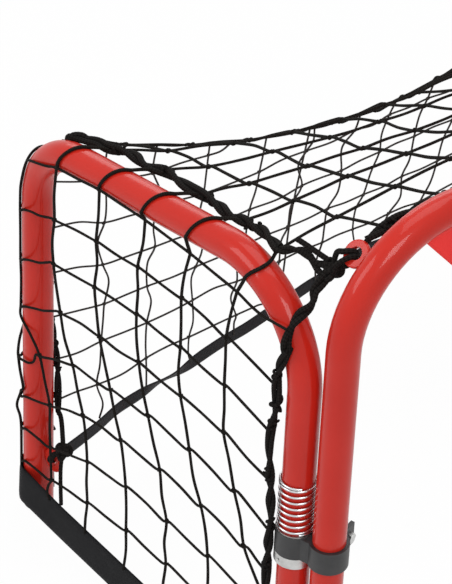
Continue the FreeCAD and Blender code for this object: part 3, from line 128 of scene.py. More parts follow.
class Nodes:
    """The shading nodes of a material or a world."""

    def __init__(self, item):
        item.use_nodes = True
        self.item = item
        self.nodes = item.node_tree.nodes
        self.links = item.node_tree.links

    def feed(self, socket, value):
        """Link a socket to another node's output, or set its value."""
        if isinstance(value, bpy.types.NodeSocket):
            self.links.new(value, socket)
        else:
            socket.default_value = value

    def new(self, kind, inputs=(), **settings):
        item = self.nodes.new(kind)
        for key, setting in settings.items():
            setattr(item, key, setting)
        for key, value in dict(inputs).items():
            self.feed(item.inputs[key], value)
        return item

    def maths(self, operation, *values):
        return self.new("ShaderNodeMath", enumerate(values), operation=operation).outputs[0]

    def ramp(self, source, low, high, start=0.0, end=1.0):
        item = self.new("ShaderNodeValToRGB", {"Fac": source})
        for element, place, colour in zip(item.color_ramp.elements, (start, end), (low, high)):
            element.position = place
            element.color = (*colour, 1)
        return item.outputs["Color"]

    def spread(self, source, low, high, start=0.0):
        """Values from start to 1, spread between low and high."""
        inputs = {"Value": source, "From Min": start, "To Min": low, "To Max": high}
        return self.new("ShaderNodeMapRange", inputs).outputs["Result"]

    def noise(self, scale, detail=3.0, roughness=0.5):
        place = self.new("ShaderNodeTexCoord").outputs["Object"]
        inputs = {"Vector": place, "Scale": scale, "Detail": detail, "Roughness": roughness}
        return self.new("ShaderNodeTexNoise", inputs).outputs["Fac"]

    def chart(self):
        return self.new("ShaderNodeUVMap", uv_map="cord").outputs["UV"]


class Look(Nodes):
    """A material with one shader."""

    def __init__(self, name):
        super().__init__(bpy.data.materials.new(name))
        self.shader = self.nodes["Principled BSDF"]

    def finish(self, colour, rough, height, strength, distance, values=()):
        """Feed the shader its colour, roughness, bump and plain values."""
        bump = self.new("ShaderNodeBump", {"Height": height, "Strength": strength, "Distance": distance})
        inputs = {"Base Color": colour, "Roughness": rough, "Normal": bump.outputs["Normal"], **dict(values)}
        for key, value in inputs.items():
            self.feed(self.shader.inputs[key], value)
        return self.item


def red_paint():
    """Gloss powder coat with a faint orange peel, thinner and scuffed here and there."""
    look = Look("red_powder_coat")
    colour = look.ramp(look.noise(9.0, 4.0), (0.50, 0.017, 0.009), (0.57, 0.023, 0.013), 0.3, 0.7)
    rough = look.spread(look.noise(60.0, 6.0, 0.7), 0.26, 0.42)
    gloss = {"Coat Weight": 0.3, "Coat Roughness": 0.05, "Specular IOR Level": 0.1}
    return look.finish(colour, rough, look.noise(420.0, 2.0), 0.06, 0.0006, gloss)


def braided(name, dark, light, threads, length, strength):
    """Black braid: two sets of threads that cross round the cord, from the mesh's own chart."""
    look = Look(name)
    parts = look.new("ShaderNodeSeparateXYZ", {"Vector": look.chart()}).outputs
    waves = []
    for sign in (1, -1):
        around = look.maths("MULTIPLY", parts["X"], 2 * math.pi * threads * sign)
        waves.append(look.maths("SINE", look.maths("MULTIPLY_ADD", parts["Y"], 2 * math.pi / length, around)))
    height = look.spread(look.maths("MULTIPLY", *waves), 0.0, 1.0, -1.0)
    fuzz = look.noise(1400.0, 4.0, 0.7)
    mixed = look.maths("MULTIPLY_ADD", fuzz, 0.55, height)
    # The colour follows the braid's relief: painted shade in the grooves between threads, plus random fibre
    # tone from the fuzz
    colour = look.ramp(mixed, dark, light, 0.25, 1.3)
    sheen = {"Sheen Weight": 0.005, "Sheen Roughness": 0.5, "Specular IOR Level": 0.05}
    return look.finish(colour, look.spread(fuzz, 0.70, 0.92), mixed, strength, 0.0006, sheen)


def webbing(name, dark, light, rib, strength, rough=0.7, shine=0.2):
    """Flat woven band: weft ribs across and fine warp threads along it."""
    look = Look(name)
    chart = look.chart()
    weave = []
    for axis, size in (("X", rib), ("Y", rib * 1.35)):
        inputs = {"Vector": chart, "Scale": 1 / size / 3.2, "Distortion": 0.6, "Detail": 1.0}
        wave = look.new("ShaderNodeTexWave", inputs, wave_type="BANDS", bands_direction=axis)
        weave.append(wave.outputs["Fac"])
    both = look.maths("MULTIPLY", *weave)
    cloudy = look.noise(120.0, 5.0, 0.65)
    # The colour follows the weave's relief: painted shade between the ribs and threads, plus random cloudy
    # tone
    colour = look.ramp(look.maths("MULTIPLY_ADD", cloudy, 0.5, both), dark, light, 0.1, 1.2)
    sheen = {"Sheen Weight": shine / 5, "Sheen Roughness": 0.45, "Specular IOR Level": shine}
    return look.finish(colour, look.spread(cloudy, rough - 0.1, rough + 0.12), both, strength, 0.0004, sheen)


def metal(name, dark, light, rough_low, rough_high, grain):
    look = Look(name)
    colour = look.ramp(look.noise(85.0, 5.0, 0.6), dark, light, 0.3, 0.7)
    fine = look.noise(grain)
    rough = look.spread(fine, rough_low, rough_high)
    return look.finish(colour, rough, fine, 0.08, 0.0003, {"Metallic": 1.0})


def moulded(name, dark, light, rough_low, rough_high, grain, strength):
    """Black plastic or rubber with a fine moulded grain and dusty patches."""
    look = Look(name)
    colour = look.ramp(look.noise(38.0, 6.0, 0.65), dark, light, 0.35, 0.75)
    fine = look.noise(grain)
    return look.finish(colour, look.spread(fine, rough_low, rough_high), fine, strength, 0.0004)


HARD_LOOKS = {
    "red_paint": red_paint(),
    "zinc_steel": metal("zinc_plated_steel", (0.46, 0.46, 0.45), (0.66, 0.66, 0.65), 0.28, 0.45, 300.0),
    "bright_steel": metal("bright_steel", (0.55, 0.55, 0.56), (0.74, 0.74, 0.75), 0.16, 0.30, 260.0),
    "black_plastic": moulded("black_moulded_plastic", (0.012, 0.012, 0.013), (0.030, 0.030, 0.031),
                             0.38, 0.55, 520.0, 0.15),
    "black_rubber": moulded("black_rubber", (0.012, 0.012, 0.012), (0.040, 0.038, 0.036),
                            0.70, 0.92, 300.0, 0.3),
}
SOFT_LOOKS = {
    "black_rope": braided("black_braided_rope", (0.0030, 0.0026, 0.0024), (0.016, 0.014, 0.013),
                          4, 6.5 * MM, 0.9),
    "black_net": braided("black_net_braid", (0.0036, 0.0031, 0.0028), (0.017, 0.015, 0.013),
                         3, 4.6 * MM, 0.8),
    "black_webbing": webbing("black_webbing", (0.006, 0.006, 0.007), (0.022, 0.022, 0.025), 1.5 * MM, 0.5),
    "black_fabric": webbing("black_band_fabric", (0.0035, 0.0035, 0.0042), (0.0095, 0.0095, 0.0110),
                            0.9 * MM, 0.35, 0.62, 0.07),
    "red_cloth": webbing("red_cloth", (0.86, 0.032, 0.030), (1.0, 0.062, 0.055), 0.7 * MM, 0.3, 0.75),
}
THIN_NET = braided("thin_net_braid", (0.022, 0.020, 0.018), (0.065, 0.062, 0.058), 3, 3.4 * MM, 0.7)
LOOKS = {**HARD_LOOKS, **SOFT_LOOKS}


# Meshes made of tubes and strips

class Shape:
    """Points and faces of one piece, in millimetres, with a chart that runs along each cord."""

    def __init__(self):
        self.points = []
        self.faces = []
        self.chart = []
        self.count = 0

    def add(self, points, faces, chart):
        start = self.count
        self.points.append(np.asarray(points, float))
        self.count += len(points)
        self.faces.extend(tuple(start + index for index in face) for face in faces)
        self.chart.extend(chart)

    def grid(self, rows, across, along, rings=False):
        """Faces between rows of points, charted by column and row. Rings are closed and capped."""
        rows = np.asarray(rows, float)
        count, width = rows.shape[:2]
        faces = []
        chart = []
        for index in range(count - 1):
            base = index * width
            for side in range(width if rings else width - 1):
                after = (side + 1) % width
                faces.append((base + side, base + after, base + width + after, base + width + side))
                corners = ((side, index), (side + 1, index), (side + 1, index + 1), (side, index + 1))
                chart.extend((across[column], along[row]) for column, row in corners)
        if rings:
            turns = np.arange(width) * 2 * math.pi / width
            for base, order in ((0, -1), ((count - 1) * width, 1)):
                faces.append(tuple(range(base, base + width))[::order])
                chart.extend((0.5 + 0.1 * math.cos(turn), 0.1 * MM * math.sin(turn)) for turn in turns)
        self.add(rows.reshape(-1, 3), faces, chart)

    def finish(self, name, look, weld=False):
        mesh = bpy.data.meshes.new(name)
        points, faces = np.concatenate(self.points), self.faces
        if weld:
            _, kept, same = np.unique(np.round(points, 4), axis=0, return_index=True, return_inverse=True)
            points, same = points[kept], same.ravel().tolist()
            faces = [tuple(same[index] for index in face) for face in faces]
        mesh.from_pydata((points * MM).tolist(), [], faces)
        layer = mesh.uv_layers.new(name="cord")
        layer.data.foreach_set("uv", np.asarray(self.chart, np.float32).ravel())
        mesh.validate()
        mesh.update()
        mesh.polygons.foreach_set("use_smooth", [len(face.vertices) < 5 for face in mesh.polygons])
        item = bpy.data.objects.new(name, mesh)
        bpy.context.scene.collection.objects.link(item)
        mesh.materials.append(look)
        return item


def settle(shape, piece, body, slot, node, look=None, weld=False):
    """Make the object of a shape, which rides on a body and stands for a node."""
    item = shape.finish(piece, look or LOOKS[slot], weld)
    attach(item, body)
    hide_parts(node)
    return item


def settle_wing(shape, name, piece, node, slot, weld=False):
    return settle(shape, f"{piece}_{name}", "wing_" + name, slot, f"{node}_{name}", weld=weld)


def array(*values):
    return np.array(values, float)


def offsets(start, side, places):
    """Places given from a start as outward, backward and upward."""
    return [start + array(side * out, back, up) for out, back, up in places]


def unit(vector):
    return vector / max(np.linalg.norm(vector), 1e-9)


def ease(share):
    share = min(max(share, 0.0), 1.0)
    return share * share * (3 - 2 * share)


def lengths_along(line):
    steps = np.linalg.norm(np.diff(line, axis=0), axis=1)
    return np.concatenate([[0.0], np.cumsum(steps)])


def resample(line, step):
    """The same line with points a step apart."""
    line = np.asarray(line, float)
    way = lengths_along(line)
    count = max(int(round(way[-1] / step)), 2)
    marks = np.linspace(0, way[-1], count + 1)
    return np.stack([np.interp(marks, way, line[:, axis]) for axis in range(3)], axis=1)


def frames_along(line):
    """Tangents and two directions across a line, turned as little as possible."""
    tangents = np.gradient(line, axis=0)
    tangents /= np.maximum(np.linalg.norm(tangents, axis=1)[:, None], 1e-9)
    start = array(0, 0, 1)
    if abs(tangents[0] @ start) > 0.9:
        start = array(1, 0, 0)
    across = unit(start - tangents[0] * (start @ tangents[0]))
    first = []
    for tangent in tangents:
        across = unit(across - tangent * (across @ tangent))
        first.append(across)
    first = np.array(first)
    return tangents, first, np.cross(tangents, first)


def frame_at(line, share):
    """The place, tangent and two directions across, at a share of a line's length."""
    way = lengths_along(line)
    index = int(np.argmin(abs(way - share * way[-1])))
    return line[index], *(part[index] for part in frames_along(line))


def tube(shape, line, radius, sides=8, threads=0, pitch=6.0, depth=0.0):
    """A round cord along a line. Its surface can have the crossing ridges of a braid."""
    line = np.asarray(line, float)
    _, first, second = frames_along(line)
    way = lengths_along(line)
    angles = np.arange(sides) * 2 * math.pi / sides
    radii = np.broadcast_to(np.asarray(radius, float), (len(line),))
    size = np.repeat(radii[:, None], sides, axis=1)
    if depth:
        along = 2 * math.pi * way[:, None] / pitch
        ridges = np.sin(threads * angles[None, :] + along) * np.sin(threads * angles[None, :] - along)
        size = size * (1 + depth * ridges)
    ring = (np.cos(angles)[None, :, None] * first[:, None, :]
            + np.sin(angles)[None, :, None] * second[:, None, :])
    shape.grid(line[:, None, :] + ring * size[:, :, None], np.arange(sides + 1) / sides, way * MM, True)


def rope_cord(shape, line, radius, sides=10, depth=0.05):
    tube(shape, line, radius, sides, 4, 6.5, depth)


def net_cord(shape, line, radius, depth=0.06, sides=8):
    tube(shape, line, radius, sides, 3, 4.6, depth)


def strip(shape, rows, cross_step, along_step):
    """A surface through rows of points. The chart is in metres, across and along."""
    across = np.arange(len(rows[0])) * cross_step * MM
    shape.grid(rows, across, np.arange(len(rows)) * along_step * MM)


def close_strip(shape, rows):
    """A flat face at each end of a strip whose rows are closed outlines."""
    for row, order in ((rows[0], 1), (rows[-1], -1)):
        cap = row[:-1][::order]
        shape.add(cap, [tuple(range(len(cap)))], [(0.0, 0.0)] * len(cap))


def spline(control):
    """Points on the smooth line that a route's points control."""
    curve = bpy.data.curves.new("route", "CURVE")
    curve.dimensions = "3D"
    line = curve.splines.new("NURBS")
    line.points.add(len(control) - 1)
    for point, place in zip(line.points, control):
        point.co = (*place, 1)
    line.order_u = 3
    line.use_endpoint_u = True
    line.resolution_u = 14
    holder = bpy.data.objects.new("route", curve)
    bpy.context.scene.collection.objects.link(holder)
    mesh = bpy.data.meshes.new_from_object(holder)
    points = np.array([vertex.co for vertex in mesh.vertices], float)
    bpy.data.objects.remove(holder)
    bpy.data.curves.remove(curve)
    bpy.data.meshes.remove(mesh)
    return points


def through(points, step):
    """A soft line that passes through all the given points."""
    points = np.asarray(points, float)
    ends = np.vstack([2 * points[0] - points[1], points, 2 * points[-1] - points[-2]])
    pieces = []
    for index in range(1, len(ends) - 2):
        before, here, there, after = ends[index - 1:index + 3]
        share = np.linspace(0, 1, 9)[:-1, None]
        pieces.append(0.5 * (2 * here + (there - before) * share
                             + (2 * before - 5 * here + 4 * there - after) * share ** 2
                             + (3 * here - before - 3 * there + after) * share ** 3))
    pieces.append(points[-1:])
    return resample(np.vstack(pieces), step)


def slack_line(points, seed, amount, step=2.4):
    """A cord through its knots, slightly bent between them."""
    draw = np.random.RandomState(seed)
    bent = [points[0]]
    for here, there in zip(points, points[1:]):
        span = there - here
        if np.linalg.norm(span) > 25:
            aside = np.cross(span, draw.uniform(-1, 1, 3))
            bent.append((here + there) / 2 + unit(aside) * amount * draw.uniform(0.3, 1.3))
        bent.append(there)
    return through(bent, step)


def twisted(shape, line, strand, lay, seed, open_share, sides=12, step=1.1):
    """Two braided strands laid round each other unevenly, tight here and open there."""
    draw = np.random.RandomState(seed)
    line = resample(line, step)
    _, first, second = frames_along(line)
    way = lengths_along(line)
    marks = np.arange(0, way[-1] + lay, lay / 3)
    pace = np.interp(way, marks, draw.uniform(0.35, 1.75, len(marks)))
    turn = np.concatenate([[0.0], np.cumsum(pace[1:] * np.diff(way))]) * 2 * math.pi / lay
    turn += draw.uniform(0, 2 * math.pi)
    apart = 1 + np.interp(way, marks, draw.uniform(-0.12, 1.0, len(marks)) * open_share * 2)
    for half in (0, math.pi):
        offset = np.cos(turn + half)[:, None] * first + np.sin(turn + half)[:, None] * second
        size = strand / 2 * (1 + 0.07 * np.interp(way, marks, draw.uniform(-1, 1, len(marks))))
        rope_cord(shape, line + offset * (strand / 2 * 0.93 * apart)[:, None], size, sides, 0.055)


def coil(shape, at, turns, rise, radius, size, seed):
    """A cord wound a few turns round a rope, where a net cord is hitched to it."""
    draw = np.random.RandomState(seed)
    place, tangent, first, second = at
    share = np.linspace(0, 1, int(26 * turns))
    angle = share * turns * 2 * math.pi + draw.uniform(0, 6)
    wide = radius * (1 + 0.10 * np.sin(angle * 0.7 + draw.uniform(0, 6)))
    wound = (place + np.outer((share - 0.5) * rise, tangent)
             + first * (wide * np.cos(angle))[:, None] + second * (wide * np.sin(angle))[:, None])
    net_cord(shape, resample(wound, size * 0.35), size / 2, 0.05)


def hitch(shape, line, share, seed, size=NET_CORD * 0.85, radius=STRAND, tail=6.0):
    """A net cord tied on a rope: a slanting pulled-in turn or two and a short cut end."""
    draw = np.random.RandomState(seed)
    at = frame_at(line, share)
    turns = draw.uniform(1.1, 1.8)
    rise = draw.uniform(11, 18)
    coil(shape, at, turns, rise, radius * draw.uniform(0.70, 0.80), size, seed)
    place, tangent, first, second = at
    angle = draw.uniform(0, 2 * math.pi)
    out = first * math.cos(angle) + second * math.sin(angle)
    start = place + out * radius * 0.7
    end = start + out * tail * 0.6 + tangent * tail * draw.uniform(-0.9, 0.9)
    net_cord(shape, through([start, (start + end) / 2 + out * 0.8, end], 1.0), size * 0.42, 0.08, 7)


def net_knot(shape, centre, upright, along, size, seed):
    """A small pulled-tight knot where two net cords cross."""
    draw = np.random.RandomState(seed)
    upright, along = unit(array(*upright)), unit(array(*along))
    out = unit(np.cross(upright, along))
    along = np.cross(out, upright)
    share = np.linspace(0, 1, 22)
    angle = share * 2 * math.pi * 1.3 + draw.uniform(0, 6)
    reach = size * draw.uniform(0.40, 0.52)
    wound = (centre + np.outer((share - 0.5) * size * 1.1, upright * 0.7 + along * draw.uniform(-0.9, 0.9))
             + np.outer(reach * np.cos(angle), along) + np.outer(reach * 0.8 * np.sin(angle), out))
    tube(shape, wound, size * 0.42, 6)


def knot_line(centre, size, facing, spin, squeeze):
    """One closed overhand knot, as a three-leafed line round its centre."""
    facing = unit(facing)
    start = array(0, 0, 1) if abs(facing[2]) < 0.8 else array(1, 0, 0)
    across = unit(start - facing * (start @ facing))
    other = np.cross(facing, across)
    angle = np.linspace(0, 2 * math.pi, 73)
    first = (np.sin(angle) + 2 * np.sin(2 * angle)) / 3
    second = (np.cos(angle) - 2 * np.cos(2 * angle)) / 3
    third = -np.sin(3 * angle) / 3
    turned = first * math.cos(spin) - second * math.sin(spin)
    lifted = first * math.sin(spin) + second * math.cos(spin)
    return (centre + np.outer(turned * size, across) + np.outer(lifted * size * squeeze, other)
            + np.outer(third * size, facing))


def knot_bundle(shape, centre, side, size, cord, spins):
    """A tight bundle: overhand knots inside each other, turned different ways."""
    facings = (array(side * 0.6, -0.3, 0.7), array(side * 0.2, 0.9, 0.4), array(side * -0.7, 0.2, 0.6),
               array(0.1, 0.5, 0.8))
    for number, (spin, facing) in enumerate(zip(spins, facings)):
        ring = knot_line(centre, size * (1 - 0.17 * number), facing, spin, 0.86)
        rope_cord(shape, resample(ring, 1.2), cord / 2)


# The bars that ropes and net follow

FRONT_BEND_Z = CORNER_Z - FRONT_BEND * math.tan((math.pi / 2 + WING_SLOPE) / 2)
REAR_BEND_Z = REAR_Z - REAR_BEND * math.tan((math.pi / 2 - WING_SLOPE) / 2)
# Each bend's centre, its radius, and which way it bulges along the wing
FRONT_ARC = (LEG_Y + FRONT_BEND, FRONT_BEND_Z, FRONT_BEND, -1)
REAR_ARC = (REAR_Y - REAR_BEND, REAR_BEND_Z, REAR_BEND, 1)


def arc(bend, angles):
    """Places of the tube's axis on a bend, as depth and height."""
    y, z, radius, bulge = bend
    return [(y + bulge * radius * math.cos(angle), z + radius * math.sin(angle)) for angle in angles]


def wing_tube(name, side):
    """The wing's bent tube: front leg, sloping top bar and rear leg in one plane."""
    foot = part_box("wing_tube_" + name)[0].z / MM
    front = arc(FRONT_ARC, np.linspace(0, math.pi / 2 + WING_SLOPE, 50))
    rear = arc(REAR_ARC, np.linspace(math.pi / 2 - WING_SLOPE, 0, 44))
    places = [(LEG_Y, z) for z in np.linspace(foot, FRONT_BEND_Z, 30)[:-1]]
    places += [*front, *np.linspace(front[-1], rear[0], 20)[1:-1], *rear]
    places += [(REAR_Y, z) for z in np.linspace(REAR_BEND_Z, foot, 40)[1:]]
    shape = Shape()
    tube(shape, [(side * LEG_X, y, z) for y, z in places], TUBE_R, 56)
    settle_wing(shape, name, "wing_tube_paint", "wing_tube", "red_paint")


def bar_axis(y):
    """Height and slope of the top bar's axis at a place y."""
    behind = y - LEG_Y
    ahead = REAR_Y - y
    if behind < FRONT_BEND * (1 + math.sin(WING_SLOPE)):
        angle = math.asin(max((behind - FRONT_BEND) / FRONT_BEND, -0.99))
        return FRONT_BEND_Z + FRONT_BEND * math.cos(angle), angle
    if ahead < REAR_BEND * (1 - math.sin(WING_SLOPE)):
        angle = math.asin(min((REAR_BEND - ahead) / REAR_BEND, 0.99))
        return REAR_BEND_Z + REAR_BEND * math.cos(angle), angle
    return CORNER_Z - behind * FALL, WING_SLOPE


def bar_wrap(y, side, start, end, lean, steps=12):
    """Points over the top bar, from its outer face to its inner side, leaning forward."""
    places = []
    for share in np.linspace(0, 1, steps):
        angle = math.radians(start + (end - start) * share)
        at = y - lean * share
        z, fall = bar_axis(at)
        out, up = math.cos(angle) * LEG_TOUCH, math.sin(angle) * LEG_TOUCH
        places.append(array(side * (LEG_X + out), at + up * math.sin(fall), z + up * math.cos(fall)))
    return places


def round_bend(bend, side, turns):
    """Places on a bend's surface: turns from the top of the leg, and angles round the tube."""
    y, z, radius, bulge = bend
    places = []
    for turn, angle in np.radians(turns):
        away = radius + LEG_TOUCH * math.sin(angle)
        x = side * (LEG_X + LEG_TOUCH * math.cos(angle))
        places.append(array(x, y + bulge * away * math.cos(turn), z + away * math.sin(turn)))
    return places


def round_leg(height, side, places):
    """Places round the rear leg: rise over a height, angle, and distance. 90 degrees is backward."""
    points = []
    for rise, angle, away in places:
        angle = math.radians(angle)
        reach = LEG_TOUCH + away
        out, back = reach * math.cos(angle), reach * math.sin(angle)
        points.append(array(side * (LEG_X + out), REAR_Y + back, height + rise))
    return points


# Border ropes of a wing

# How far behind the front leg and how far inward of the bar's side each point of the top rope lies
TOP_ROPE_ROUTE = (
    (377, -4), (364, 0), (350, 7), (331, 5), (318, 13), (299, 13.5), (273, 8), (256, 15), (240, 14.5),
    (214, 10), (190, 10.5), (169, 10), (146, 3), (126, 6), (104, 6.5), (85, 4), (60, -5),
)
# From the wing's upper front corner: outward, backward and upward
FRONT_ROPE_ROUTE = (
    (19.5, 3, -62), (20.8, 12, -84), (18.4, 19, -107), (18.6, 15.5, -135), (19, 24, -181),
    (19.4, 19, -219), (19.6, 15.5, -249), (20.6, 12.4, -273), (19.6, 15.4, -296), (17.6, 18, -328),
    (16.6, 19.5, -373), (17.1, 18.8, -418), (16.8, 19.6, -462), (17.0, 19, -505),
)
REAR_ROPE_AWAY = TUBE_R + 3.6 + 0.9
REAR_ROPE_ANGLE = 37
REAR_ROPE_BEHIND = -20
REAR_ROPE_DOWN = 47
REAR_ROPE_UP = 46
FRONT_TIES = (0.09, 0.225, 0.36, 0.49, 0.62, 0.75, 0.88)
REAR_TIES = (0.10, 0.27, 0.45, 0.63, 0.72, 0.81, 0.92)


def upper_corner(side):
    return array(side * LEG_X, LEG_Y, CORNER_Z)


def top_rope_place(y, side, inward=0.0, lower=0.0):
    return array(side * (ROPE_X - inward), y, CORNER_Z - (y - LEG_Y) * FALL + ROPE_RISE - lower)


def top_rope_route(side):
    return [top_rope_place(LEG_Y + behind, side, inward) for behind, inward in TOP_ROPE_ROUTE]


def top_rope_at(y, side):
    """The place just under the top rope beside a point of the bar."""
    behinds, inwards = zip(*TOP_ROPE_ROUTE[::-1])
    at = min(max(y - LEG_Y, behinds[0]), behinds[-1])
    return top_rope_place(LEG_Y + at, side, np.interp(at, behinds, inwards), 1)


def front_rope_route(side):
    return offsets(upper_corner(side), side, FRONT_ROPE_ROUTE)


def front_rope_at(z, side):
    """The front rope's place at a height."""
    route = np.array(front_rope_route(side)[::-1])
    return array(*(np.interp(z, route[:, 2], route[:, axis]) for axis in range(3)))


def rear_rope_route(side):
    """Down the inner side of the rear leg: behind it above, and round to its front near the ring."""
    places = []
    for z in np.linspace(REAR_Z - REAR_ROPE_DOWN, EYE_LOW + REAR_ROPE_UP, 15):
        angle = math.radians(REAR_ROPE_BEHIND + (REAR_ROPE_ANGLE - REAR_ROPE_BEHIND) * ease((255 - z) / 115))
        forward = math.sin(angle) * REAR_ROPE_AWAY
        places.append(array(side * (LEG_X - math.cos(angle) * REAR_ROPE_AWAY), REAR_Y - forward, z))
    return places


def border_rope(name, piece, line, strand, lay, seed, open_share, hitches):
    """A twisted rope with the net's cords tied to it."""
    shape = Shape()
    twisted(shape, line, strand, lay, seed, open_share)
    for settings in hitches:
        hitch(shape, line, *settings)
    settle_wing(shape, name, piece + "_strands", piece, "black_rope")


def border_ropes(name, side):
    line = spline(top_rope_route(side))
    shares = [np.interp(side_column(number) - WRAP_LEAN, line[::-1, 1], np.linspace(1, 0, len(line)))
              for number in range(4)]
    ties = [(share, 20 + number) for number, share in enumerate(shares)]
    border_rope(name, "top_rope", line, STRAND, 92, 11, 0.06, ties)
    ties = [(share, 40 + number, 2.8, FRONT_STRAND, 4.0) for number, share in enumerate(FRONT_TIES)]
    ties.append((0.17, 48, 3.6, FRONT_STRAND * 1.3, 4.0))
    border_rope(name, "front_rope", spline(front_rope_route(side)), FRONT_STRAND, 96, 12, 0.07, ties)
    ties = [(share, 60 + number, 2.4, REAR_STRAND, 3.0) for number, share in enumerate(REAR_TIES)]
    border_rope(name, "rear_rope", spline(rear_rope_route(side)), REAR_STRAND, 84, 13, 0.03, ties)


# Side net: one lattice on the outer face of the wing, wrapped over the top bar and round the rear leg

SIDE_MESH = 68
SIDE_FIRST = 54
SIDE_ROWS = 57.3
SIDE_PLANE = LEG_X + TUBE_R + 1.6
SIDE_DRIFT = 57
SIDE_COLUMNS = 5
SIDE_LINES = 8
SIDE_TOP = 476.5
SIDE_RISE = 32
SIDE_CREST = -70
SIDE_REACH = 243
SIDE_SLACK = 1.6
WRAP_LEAN = 36
FRONT_NET_Y = LEG_Y + 50
# How far the rear end of each lengthwise cord hangs below its row
REAR_DIP = (0, 28, 33, 36, 47, 41, 28, 16)
# Rises, angles and distances round the rear leg: most rows, the slack fifth row, and a slack upright cord
ROW_TAIL = ((-2, 42, 0), (1, 20, 0), (7, -5, 0))
SLACK_TAIL = ((0, 44, 2.4), (1.5, 22, 1.6), (3.7, 0, 0.8), (4.2, -22, 0.5), (7.7, -40, 0.4))
SWAY = (
    (40, 80, 0.6), (22, 50, 1.6), (8, 43, 3.0), (0, 42, 3.0), (-18, 34, 1.0), (-34, 6, 0.2), (-44, 30, 0.2),
    (-51, 42, 1.0), (-67, 42, 4.8), (-82, 42, 1.6), (-95, 40, 0.4), (-118, 40, 0.3), (-141, 38, 0.3),
    (-156, 38, 0.3),
)
# Turns and angles on the bends: over the rear one from inside, the first row's end, and over the front one
REAR_OVER = (
    (28, 172), (31, 150), (34, 130), (36, 110), (36, 90), (34, 70), (30, 52), (25, 38), (18, 27), (8, 25),
    (-3, 25),
)
ROW_END = ((30, 48), (38, 24), (47, 3), (57, -13))
LAST_WRAP = ((75, -24), (74, 2), (72.5, 30), (71, 60), (71, 86), (72.5, 112))
# Where the first lengthwise cord ends at the corner lashing
LASH_JOIN = ((17.4, 62, -50.5), (18.2, 43, -50), (18.8, 24, -46), (18.6, 8, -43))


def side_column(index):
    return REAR_Y - SIDE_FIRST - SIDE_MESH * index


def side_height(y, row):
    """Height of a lengthwise cord of the side net."""
    level = SIDE_TOP - SIDE_ROWS * row + (4 if row == 0 else 0)
    return level + SIDE_RISE * (1 - ((y - SIDE_CREST) / SIDE_REACH) ** 2)


def side_knot(column, row, side, draw):
    """Where an upright and a lengthwise cord of the side net cross. Below, the net hangs forward."""
    y = side_column(column) - SIDE_DRIFT * ease((row - 2.4 + 0.25 * max(2 - column, 0)) / 3.9)
    if row == 0:
        y -= 3 + 2.6 * column
    z = side_height(y, row)
    if column < 0:
        y -= 4
        z -= 11 if row < 7 else 0
    y += draw.uniform(-1, 1) * SIDE_SLACK
    z += draw.uniform(-1, 1) * SIDE_SLACK
    return array(side * (SIDE_PLANE + draw.uniform(-0.2, 0.5)), y, z)


def side_lattice(side):
    draw = np.random.RandomState(3)
    knots = {}
    for row in range(SIDE_LINES):
        for column in range(-1 if row > 3 else 0, SIDE_COLUMNS):
            place = side_knot(column, row, side, draw)
            if place[1] > FRONT_NET_Y and place[2] > HEM_TOP + 6:
                knots[column, row] = place
    return knots


def shouldered(places, knots, reach, rise):
    """Points of a lengthwise cord that steps through each knot: lower behind it and higher in front."""
    line = []
    for place in places:
        tied = any(place is knot for knot in knots)
        if tied:
            line.append(place + array(0, reach, -rise))
        line.append(place)
        if tied:
            line.append(place + array(0, -reach, rise * 0.75))
    return line


def rear_end(row):
    """Height at which a lengthwise cord meets the upright cord behind the rear leg."""
    return SIDE_TOP - SIDE_ROWS * row - REAR_DIP[row]


def row_tail(row, knot, side):
    """A lengthwise cord from the back of the rear leg to its last knot."""
    end = rear_end(row)
    if row == 4:
        return round_leg(end, side, SLACK_TAIL)
    tail = round_leg(end, side, ROW_TAIL)
    if row == 5:
        tail[0] = round_leg(end, side, ((-2, 42, 0.8),))[0]
    tail.append(array(knot[0], (knot[1] + REAR_Y - 4) / 2, (knot[2] + end + 9) / 2 - 1.5))
    return tail


def rear_uprights(shape, knots, side):
    """Two slack upright cords behind the rear leg. The first one slips to the front half way down."""
    down = round_bend(REAR_ARC, side, REAR_OVER)
    for row in (1, 2, 3):
        down += round_leg(rear_end(row), side, ((0, 44, 0),))
    slip = rear_end(3)
    down += [*round_leg(slip, side, ((-12, 24, 0),)), array(side * SIDE_PLANE, REAR_Y - 12, slip - 24)]
    down += [knots[-1, row] for row in (4, 5, 6, 7)]
    down += offsets(down[-1], side, ((0.5, 4, -9), (1.5, 5, -20), (1, 1, -28)))
    net_cord(shape, slack_line(down, 150, 0.6), NET_CORD * 0.43, 0.05)
    net_cord(shape, through(round_leg(rear_end(4), side, SWAY), 2.2), NET_CORD * 0.46, 0.05)


